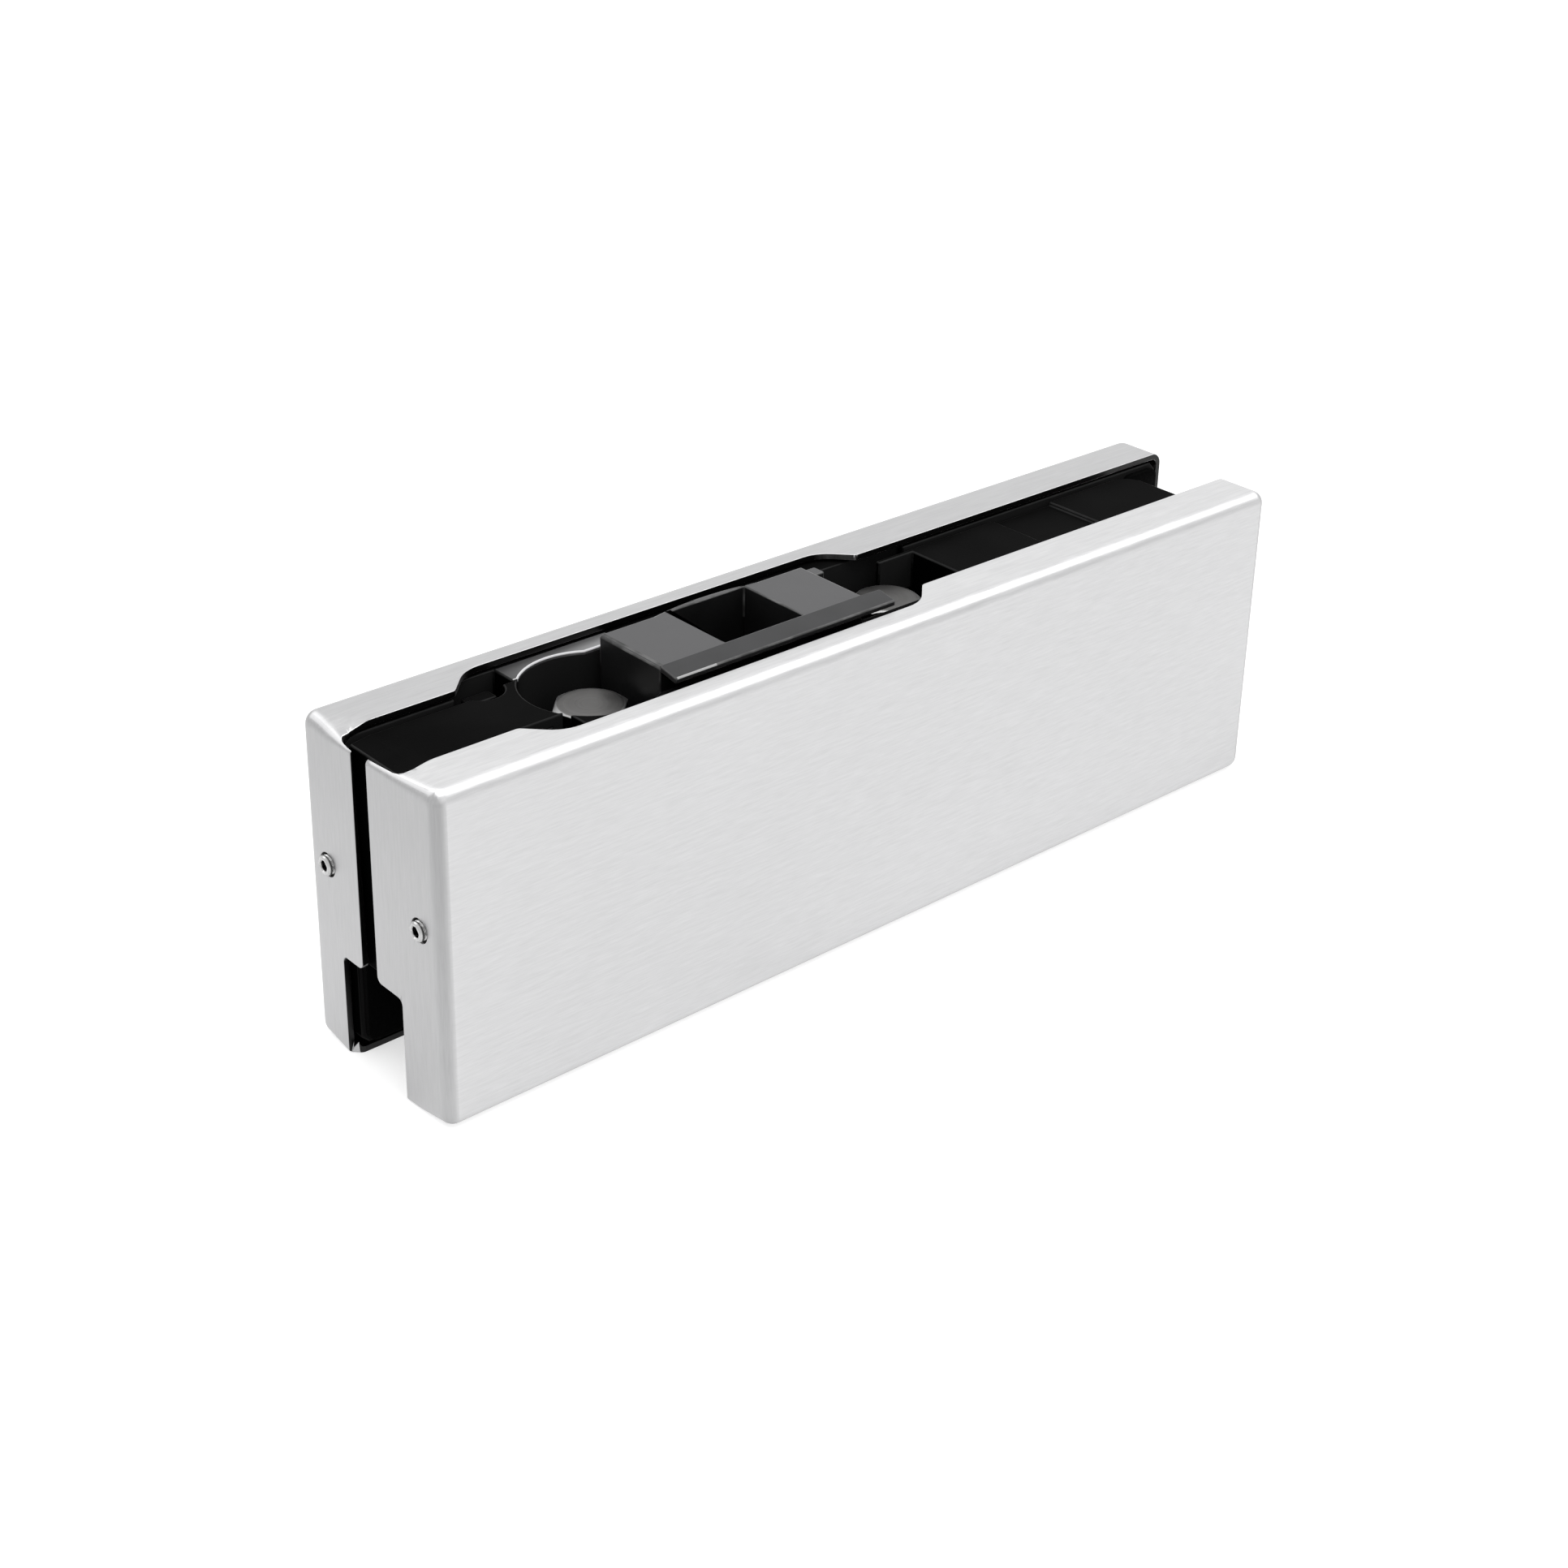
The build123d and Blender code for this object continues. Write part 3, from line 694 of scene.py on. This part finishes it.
class CastingLook(bpy.types.PropertyGroup):
    """Finish of the two castings."""

    colour: a_colour("Coat colour", "Colour of the black coat", (0.0024, 0.0024, 0.0024))
    cloud_colour: a_colour("Cloud colour", "Colour of its clouds", (0.00556, 0.00556, 0.00556))
    # Painted light on the lengthwise walls
    lit_wall_colour: a_colour("Wall colour", "Painted light on the lengthwise walls", (0.016, 0.016, 0.016))
    # Painted highlight on the cast edges, and a bright one on the milled rim's edge
    edge_highlight_colour: a_colour("Edge colour", "Colour of the painted edge highlight", (0.006, 0.006, 0.006))
    rim_highlight_colour: a_colour("Rim colour", "Painted highlight on the milled rim's edge", (0.7, 0.7, 0.71))
    milled_colour: a_colour("Milled colour", "Colour of the milled rim", (0.38, 0.38, 0.385))
    roughness: a_share("Roughness", "How matt the coat is", 0.46)
    grain_size: a_length("Grain size", "Size of the pebbles in the coat", 0.35 * MM)
    edge: a_length("Edge bevel", "Rounding of the cast edges", 0.25 * MM)


class InsertLook(bpy.types.PropertyGroup):
    """Finish of the spindle insert."""

    side_colour: a_colour("Side colour", "Colour of the sides and the lip", (0.021, 0.021, 0.022))
    # Painted sheen on the flat top
    lit_top_tint: a_colour("Top colour", "Painted sheen on the flat top", (0.058, 0.058, 0.06))
    # Painted highlight on the insert's edges, and a bright one on the lip's front edge
    edge_highlight_colour: a_colour("Edge colour", "Colour of the painted edge highlight", (0.07, 0.07, 0.07))
    rim_highlight_colour: a_colour("Lip rim colour", "Painted highlight on the lip's edge", (0.38, 0.38, 0.38))
    roughness: a_share("Roughness", "How matt the insert is", 0.38)
    edge: a_length("Edge bevel", "Rounding of the insert's edges", 0.22 * MM)


class FastenerLook(bpy.types.PropertyGroup):
    """Sizes and finishes of the bolts, washers and screws."""

    bolt_pitch: a_length("Bolt pitch", "Thread pitch of the bolts and clamp screws", 1.0 * MM)
    screw_pitch: a_length("Screw pitch", "Thread pitch of the cover screws", 0.5 * MM)
    columns: IntProperty(
        name="Columns", description="Points round a fastener", min=24, max=96, default=48
    )
    bright: a_colour("Plated colour", "Colour of the bolts and washers", (0.148, 0.146, 0.143))
    screws: a_colour("Screw colour", "Colour of the cover screws", (0.5, 0.5, 0.5))
    dark: a_colour("Dark colour", "Colour of the clamp screws", (0.06, 0.06, 0.06))


class GasketLook(bpy.types.PropertyGroup):
    """Finish of the gaskets."""

    colour: a_colour("Gasket colour", "Colour of the gasket", (0.001, 0.001, 0.001))
    edge: a_length("Edge radius", "Rounding of the gasket's edges", 0.35 * MM)


class StageLook(bpy.types.PropertyGroup):
    """Camera, floor and lamps."""

    camera_place: FloatVectorProperty(
        name="Camera place",
        description="Where the camera stands",
        subtype="TRANSLATION",
        unit="LENGTH",
        default=(-0.235264, -0.251737, 0.204236),
    )
    camera_turn: FloatVectorProperty(
        name="Camera turn",
        description="How the camera is turned",
        subtype="EULER",
        unit="ROTATION",
        default=(radians(65.2439), radians(-1.0679), radians(-41.3689)),
    )
    lens: FloatProperty(
        name="Lens", description="Focal length in millimetres", min=1, default=58.242
    )
    shift_y: FloatProperty(
        name="Shift", description="Upright shift of the lens", default=-0.1035
    )
    floor_colour: a_colour("Floor colour", "Colour of the floor", (0.62, 0.62, 0.62))
    floor_lift: a_share("Floor lift", "Light that the floor shows of itself", 0.52)
    floor_white: a_share("Floor white", "Light added where the camera sees the floor", 0.1)
    sky: a_share("Sky", "Strength of the even light all round", 0.58)
    key: a_power("Key lamp", "Power of the key lamp", 3.2)
    fill: a_power("Fill lamp", "Power of the fill lamp", 0.6)
    back: a_power("Back lamp", "Power of the back lamp", 2.6)
    top: a_power("Top lamp", "Power of the top lamp", 1.5)


class FittingLook(bpy.types.PropertyGroup):
    """All settings of the fitting."""

    covers: PointerProperty(type=CoverLook)
    castings: PointerProperty(type=CastingLook)
    insert: PointerProperty(type=InsertLook)
    fasteners: PointerProperty(type=FastenerLook)
    gaskets: PointerProperty(type=GasketLook)
    stage: PointerProperty(type=StageLook)


# Makers


class PATCH_OT_covers(bpy.types.Operator):
    """Dress both pressed covers in brushed stainless steel"""

    bl_idname = "patch_fitting.covers"
    bl_label = "Covers"

    # Rows for the top: distance from the middle, drop and radius of the bend
    front_top = (
        (0.1, 1.1, 0.9),
        (3.1, 0.95, 1.1),
        (6.4, 0.75, 1.4),
        (10.7, 0.35, 1.8),
        (13.9, 0.0, 2.1),
    )
    back_top = (
        (3.5, 1.4, 0.5),
        (6.1, 1.1, 1.0),
        (7.9, 0.85, 1.5),
        (9.4, 0.65, 1.8),
        (12.2, 0.1, 2.0),
        (13.9, 0.0, 2.1),
    )
    # Rows for the foot: distance from the middle and radius of the bend
    front_foot = ((3.0, 0.3), (9.0, 0.8), (13.9, 2.1))
    back_foot = ((7.3, 2.1), (8.4, 0.75), (9.0, 0.8), (13.9, 2.1))

    def execute(self, context):
        look = context.scene.patch_fitting.covers
        covers = {
            "front": (look.lit_top_tint, self.front_top, self.front_foot),
            "back": (look.lit_back_top_tint, self.back_top, self.back_foot),
        }
        for side, (lit_top_tint, *dressing) in covers.items():
            steel = brushed_steel(look, "Brushed stainless " + side, lit_top_tint)
            node = side + "_cover"
            softened(node, node + "_skin", look.edge, steel, dressing=dressing)
        return {"FINISHED"}


class PATCH_OT_castings(bpy.types.Operator):
    """Dress both castings in their black coat"""

    bl_idname = "patch_fitting.castings"
    bl_label = "Castings"

    def execute(self, context):
        look = context.scene.patch_fitting.castings
        coat = black_casting(look)
        # The cast edges get a painted highlight near the top, painted shade lower down, and a
        # bright one on the milled rim
        edge_highlight = highlighted_edge("Rubbed casting edge", look, MILLED_RIM, roughness=0.4, specular=0.1)
        for node in CASTINGS:
            softened(node, node + "_coat", look.edge, coat, edge_finish=edge_highlight)
        return {"FINISHED"}


class PATCH_OT_insert(bpy.types.Operator):
    """Dress the spindle insert in satin black"""

    bl_idname = "patch_fitting.insert"
    bl_label = "Spindle insert"

    def execute(self, context):
        look = context.scene.patch_fitting.insert
        # The insert's edges get a painted highlight, bright on the lip's front edge
        edge_highlight = highlighted_edge("Rubbed insert edge", look, LIP_HIGHLIGHT, roughness=0.35, specular=0.4)
        softened(
            "spindle_insert",
            "socket_block",
            look.edge,
            satin_black(look),
            edge_finish=edge_highlight,
            smooth=radians(10),
        )
        return {"FINISHED"}


class PATCH_OT_bolts(bpy.types.Operator):
    """Make the hexagon bolts and washers that hold the insert"""

    bl_idname = "patch_fitting.bolts"
    bl_label = "Insert bolts"

    # Sizes of the bolts
    head_height = 4.0 * MM
    flats = 10.0 * MM
    chamfer_radius = 4.725 * MM
    chamfer_slope = tan(radians(30))
    # Distance from the axis beyond which the chamfer shines, in millimetres
    shine = 4.7
    # Turn of each head in degrees
    turns = {"left": 45.0, "right": 20.0}
    shank = 3.0 * MM
    tip_radius = 2.4 * MM
    # Sizes of the washers, whose bore is a radius
    washer_bore = 3.2 * MM
    washer_edge = 0.2 * MM
    washer_play = 0.04 * MM

    def execute(self, context):
        look = context.scene.patch_fitting.fasteners
        bolt_finish = turned_steel("Plated bolt", look.bright, 0.4, chamfer=self.shine)
        washer_finish = turned_steel("Plated washer", look.bright, 0.3)
        for side, turn in self.turns.items():
            node = "insert_bolt_" + side
            mesh = self.bolt("hex_bolt_" + side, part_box(node), radians(turn), look)
            place(mesh.name, mesh, "clamp", [node], bolt_finish)
            node = "insert_washer_" + side
            mesh = self.washer("washer_" + side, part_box(node), look.columns)
            place(mesh.name, mesh, "clamp", [node], washer_finish)
        return {"FINISHED"}

    def bolt(self, name, box, turn, look):
        """Bolt whose head's chamfer falls from a circle towards the hexagon's corners."""
        low, high = box
        seat, top, chamfer = high.z - self.head_height, self.head_height, self.chamfer_radius
        angles = round_angles(look.columns)
        wall = hexagon(angles, self.flats, turn)
        fall = (wall - chamfer) * self.chamfer_slope
        tip = low.z - seat
        # From the middle of the top outwards, down the wall and in under the head
        head = [
            (0.2 * MM, top - 0.08 * MM),
            (chamfer * 0.5, top - 0.06 * MM),
            (chamfer - 0.35 * MM, top),
            (chamfer - 0.1 * MM, top - 0.02 * MM),
            (chamfer + 0.08 * MM, top - 0.09 * MM),
            (wall * 0.5 + chamfer * 0.5, top - 0.5 * fall - 0.03 * MM),
            (wall - 0.04 * MM, top - fall - 0.02 * MM),
            (wall, top - fall - 0.1 * MM),
            (wall, 0.25 * MM),
            (wall - 0.1 * MM, 0.15 * MM),
            (chamfer, 0.12 * MM),
            (chamfer - 0.1 * MM, 0.0),
        ]
        neck = [(self.shank + 0.3 * MM, 0.0), (self.shank, -0.3 * MM)]
        thread = thread_rows(
            angles, self.shank, look.bolt_pitch, -0.6 * MM, tip + 0.7 * MM
        )
        end = [(self.tip_radius, tip), (0.2 * MM, tip)]
        origin = ((low.x + high.x) / 2, 0, seat)
        rows = head + neck + thread + end
        return turned_piece(name, rows, look.columns, origin, (1, 0, 0), (0, 0, 1))

    def washer(self, name, box, columns):
        """Washer with broken edges, which clears the insert by the play."""
        low, high = box
        outer, inner = (high.x - low.x) / 2 - self.washer_play, self.washer_bore
        thick, edge = high.z - low.z, self.washer_edge
        # From the bore outwards along the foot, up the rim and back along the top
        ring = [
            (inner, edge),
            (inner + edge, 0.0),
            (outer - edge, 0.0),
            (outer, edge),
            (outer, thick - 2 * edge),
            (outer - 2 * edge, thick),
            (inner + edge, thick),
            (inner, thick - edge),
        ]
        origin = ((low.x + high.x) / 2, 0, low.z)
        return turned_piece(name, ring, columns, origin, (1, 0, 0), (0, 0, 1), closed=True)


class PATCH_OT_cover_screws(bpy.types.Operator):
    """Make the socket set screws that hold the covers"""

    bl_idname = "patch_fitting.cover_screws"
    bl_label = "Cover screws"

    radius = 1.5 * MM
    socket_flats = 1.5 * MM
    socket_depth = 1.6 * MM
    socket_turn = radians(11)
    # Distances from the axis between which the steel keeps its colour, in millimetres, with
    # painted shade outside them
    bright_span = (0.8, 1.46)

    def execute(self, context):
        look = context.scene.patch_fitting.fasteners
        finish = turned_steel("Screw steel", look.screws, 0.26, self.bright_span)
        for corner in COVER_SCREWS:
            node = "cover_screw_" + corner
            mesh = self.screw("set_screw_" + corner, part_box(node), look)
            place(mesh.name, mesh, "clamp", [node], finish)
        return {"FINISHED"}

    def screw(self, name, box, look):
        """Set screw with its socket outwards and a cup at its inner end."""
        low, high = box
        way = 1 if low.x > 0 else -1
        long = high.x - low.x
        angles = round_angles(look.columns)
        socket = hexagon(angles, self.socket_flats, self.socket_turn)
        # From the bottom of the socket up its wall and over the broken edge
        head = [
            (0.05 * MM, -self.socket_depth),
            (socket * 0.9, -self.socket_depth + 0.35 * MM),
            (socket, -self.socket_depth + 0.4 * MM),
            (socket, -0.22 * MM),
            (socket + 0.12 * MM, -0.05 * MM),
            (socket + 0.17 * MM, 0.0),
            (self.radius - 0.36 * MM, 0.0),
            (self.radius - 0.28 * MM, -0.04 * MM),
            (self.radius - 0.03 * MM, -0.3 * MM),
        ]
        thread = thread_rows(
            angles, self.radius, look.screw_pitch, -0.36 * MM, -long + 0.6 * MM
        )
        cup = [
            (self.radius - 0.7 * MM, -long),
            (self.radius - 0.85 * MM, -long + 0.02 * MM),
            (0.05 * MM, -long + 0.5 * MM),
        ]
        face = high.x if way > 0 else low.x
        origin = (face, (low.y + high.y) / 2, (low.z + high.z) / 2)
        rows = head + thread + cup
        return turned_piece(name, rows, look.columns, origin, (0, 1, 0), (way, 0, 0))


class PATCH_OT_clamp_screws(bpy.types.Operator):
    """Make the countersunk socket screws that clamp the castings together"""

    bl_idname = "patch_fitting.clamp_screws"
    bl_label = "Clamp screws"

    radius = 3.0 * MM
    rim = 0.6 * MM
    socket_flats = 4.0 * MM
    socket_depth = 2.5 * MM
    socket_turn = radians(9)
    plain_length = 9.0 * MM

    def execute(self, context):
        look = context.scene.patch_fitting.fasteners
        finish = turned_steel("Oiled steel", look.dark, 0.36)
        for side in CLAMP_SCREWS:
            node = "clamp_screw_" + side
            mesh = self.screw("countersunk_screw_" + side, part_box(node), look)
            place(mesh.name, mesh, "clamp", [node], finish)
        return {"FINISHED"}

    def screw(self, name, box, look):
        """Screw whose head tapers by 45 degrees to the shank, which is plain at first."""
        low, high = box
        head = (high.x - low.x) / 2
        long = high.y - low.y
        foot = -self.rim - head + self.radius
        angles = round_angles(look.columns)
        socket = hexagon(angles, self.socket_flats, self.socket_turn)
        # From the bottom of the socket up its wall, over the rim and down the taper
        rows = [
            (0.1 * MM, -self.socket_depth),
            (socket * 0.9, -self.socket_depth + 0.4 * MM),
            (socket, -self.socket_depth + 0.5 * MM),
            (socket, -0.2 * MM),
            (socket + 0.18 * MM, -0.03 * MM),
            (head - 0.25 * MM, 0.0),
            (head, -0.15 * MM),
            (head, -self.rim),
            (self.radius + 0.2 * MM, foot + 0.2 * MM),
            (self.radius, foot - 0.1 * MM),
        ]
        rows += thread_rows(
            angles, self.radius, look.bolt_pitch, -self.plain_length, -long + 0.6 * MM
        )
        rows += [(self.radius - 0.6 * MM, -long), (0.1 * MM, -long)]
        origin = ((low.x + high.x) / 2, high.y, (low.z + high.z) / 2)
        return turned_piece(name, rows, look.columns, origin, (1, 0, 0), (0, 1, 0))


class PATCH_OT_gaskets(bpy.types.Operator):
    """Make the L-shaped gaskets between castings and glass"""

    bl_idname = "patch_fitting.gaskets"
    bl_label = "Gaskets"

    foot_height = 15.7 * MM
    leg_start = 72.3 * MM
    corner = 1.5 * MM
    corner_points = 7

    def outline(self, low, high, inset):
        """Points round the L, inset by a distance, with its outer corners as arcs."""
        corners = [
            (low.x, low.z, 180),
            (high.x, low.z, 270),
            (high.x, high.z, 0),
            (self.leg_start, high.z, 90),
            (self.leg_start, self.foot_height, None),
            (low.x, self.foot_height, 90),
        ]
        points = []
        for x, z, start in corners:
            if start is None:
                points.append([(x + inset, z - inset)] * self.corner_points)
                continue
            turn = np.radians(np.linspace(start, start + 90, self.corner_points))
            way_x, way_z = np.sign(np.cos(turn).sum()), np.sign(np.sin(turn).sum())
            middle_x, middle_z = x - way_x * self.corner, z - way_z * self.corner
            reach = self.corner - inset
            arc = [middle_x + reach * np.cos(turn), middle_z + reach * np.sin(turn)]
            points.append(np.stack(arc, -1))
        return np.concatenate(points)

    def execute(self, context):
        look = context.scene.patch_fitting.gaskets
        finish = gasket_rubber(look)
        edge = look.edge
        for side in ("front", "back"):
            node = side + "_gasket"
            low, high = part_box(node)
            # Inset and height of the rows, with one row half way round each rounded edge
            levels = [
                (edge, low.y),
                (edge * 0.3, low.y + edge * 0.3),
                (0.0, low.y + edge),
                (0.0, high.y - edge),
                (edge * 0.3, high.y - edge * 0.3),
                (edge, high.y),
            ]
            rows = []
            for inset, y in levels:
                flat = self.outline(low, high, inset)
                rows.append(np.stack([flat[:, 0], np.full(len(flat), y), flat[:, 1]], -1))
            mesh = sheet_mesh(node + "_sheet", np.stack(rows))
            place(mesh.name, mesh, "clamp", [node], finish)
        return {"FINISHED"}


class PATCH_OT_stage(bpy.types.Operator):
    """Set the camera, the floor and the lamps"""

    bl_idname = "patch_fitting.stage"
    bl_label = "Stage"

    sensor_width = 36.0
    near, far = 0.01, 50.0
    floor_half = 4.0
    aim_height = 0.03
    # Diameter of each lamp, the way to it from the fitting and its distance, in metres
    lamps = {
        "key": (0.8, (0.55, -0.25, 0.74), 1.2),
        "fill": (0.8, (-0.35, -0.85, 0.5), 1.1),
        "back": (0.9, (-0.35, 0.65, 0.6), 1.2),
        "top": (0.5, (-0.15, -0.13, 1.0), 0.55),
    }

    def execute(self, context):
        scene = context.scene
        look = scene.patch_fitting.stage
        scene.view_settings.view_transform = "Standard"
        self.camera(scene, look)
        self.floor(scene, look)
        self.sky(scene, look)
        for name, (diameter, way, distance) in self.lamps.items():
            self.lamp(scene, name, getattr(look, name), diameter, way, distance)
        return {"FINISHED"}

    def camera(self, scene, look):
        """Camera that sees the fitting as the photo does."""
        camera = bpy.data.objects.new("Camera", bpy.data.cameras.new("Camera"))
        scene.collection.objects.link(camera)
        camera.location = look.camera_place
        camera.rotation_euler = look.camera_turn
        camera.data.lens = look.lens
        camera.data.sensor_width = self.sensor_width
        camera.data.shift_y = look.shift_y
        camera.data.clip_start = self.near
        camera.data.clip_end = self.far
        scene.camera = camera

    def floor(self, scene, look):
        """Matt floor that keeps the shadow and shows the camera a little more light."""
        half = self.floor_half
        corners = [(-half, -half, 0), (half, -half, 0), (half, half, 0), (-half, half, 0)]
        mesh = bpy.data.meshes.new("Floor")
        mesh.from_pydata(corners, [], [(0, 1, 2, 3)])
        floor = bpy.data.objects.new("Floor", mesh)
        scene.collection.objects.link(floor)
        finish = Finish("Floor")
        base = finish.add("ShaderNodeBsdfDiffuse", Color=shaded(look.floor_colour))
        seen = finish.maths("MULTIPLY", self.seen_rays(finish), look.floor_lift)
        white = finish.maths("MULTIPLY", finish.rays()["Is Camera Ray"], look.floor_white)
        lift = finish.add("ShaderNodeEmission", Strength=finish.maths("ADD", seen, white))
        total = finish.add("ShaderNodeAddShader", i0=base.outputs[0], i1=lift.outputs[0])
        finish.finish_with("ShaderNodeOutputMaterial", total)
        mesh.materials.append(finish.material)

    def seen_rays(self, tree):
        """1 for rays from the camera, from gloss and through glass, and 0 for the rest."""
        rays = tree.rays()
        clear = tree.maths("MAXIMUM", rays["Is Glossy Ray"], rays["Is Transmission Ray"])
        return tree.maths("MAXIMUM", rays["Is Camera Ray"], clear)

    def sky(self, scene, look):
        """Even light all round, and full white for the rays that are seen."""
        world = bpy.data.worlds.new("Studio")
        world.use_nodes = True
        scene.world = world
        sky = NodeTree(world.node_tree)
        strength = sky.mix_values(self.seen_rays(sky), look.sky, 1.0)
        light = sky.add("ShaderNodeBackground", Color=(1, 1, 1, 1), Strength=strength)
        sky.finish_with("ShaderNodeOutputWorld", light)

    def lamp(self, scene, name, power, diameter, way, distance):
        """Round lamp that points back at the fitting."""
        data = bpy.data.lights.new(name.capitalize() + " lamp", "AREA")
        data.shape = "DISK"
        data.size = diameter
        data.energy = power
        lamp = bpy.data.objects.new(data.name, data)
        scene.collection.objects.link(lamp)
        way = Vector(way).normalized()
        lamp.location = way * distance + Vector((0.0, 0.0, self.aim_height))
        lamp.rotation_euler = way.to_track_quat("Z", "Y").to_euler()


class PATCH_PT_panel(bpy.types.Panel):
    """Lists the makers and their settings"""

    bl_idname = "PATCH_PT_panel"
    bl_label = "Glass patch fitting"
    bl_space_type = "VIEW_3D"
    bl_region_type = "UI"
    bl_category = "Patch Fitting"

    def draw(self, context):
        looks = context.scene.patch_fitting
        for maker, group in MAKERS:
            box = self.layout.box()
            box.operator(maker.bl_idname)
            look = getattr(looks, group)
            for key in look.__annotations__:
                box.prop(look, key)


MAKERS = (
    (PATCH_OT_covers, "covers"),
    (PATCH_OT_castings, "castings"),
    (PATCH_OT_insert, "insert"),
    (PATCH_OT_bolts, "fasteners"),
    (PATCH_OT_cover_screws, "fasteners"),
    (PATCH_OT_clamp_screws, "fasteners"),
    (PATCH_OT_gaskets, "gaskets"),
    (PATCH_OT_stage, "stage"),
)
CLASSES = (
    CoverLook,
    CastingLook,
    InsertLook,
    FastenerLook,
    GasketLook,
    StageLook,
    FittingLook,
    *[maker for maker, _ in MAKERS],
    PATCH_PT_panel,
)


def register():
    for item in CLASSES:
        bpy.utils.register_class(item)
    bpy.types.Scene.patch_fitting = PointerProperty(type=FittingLook)


def unregister():
    del bpy.types.Scene.patch_fitting
    for item in reversed(CLASSES):
        bpy.utils.unregister_class(item)


def main():
    register()
    bpy.ops.patch_fitting.covers()
    bpy.ops.patch_fitting.castings()
    bpy.ops.patch_fitting.insert()
    bpy.ops.patch_fitting.bolts()
    bpy.ops.patch_fitting.cover_screws()
    bpy.ops.patch_fitting.clamp_screws()
    bpy.ops.patch_fitting.gaskets()
    bpy.ops.patch_fitting.stage()


if __name__ == "__main__":
    main()
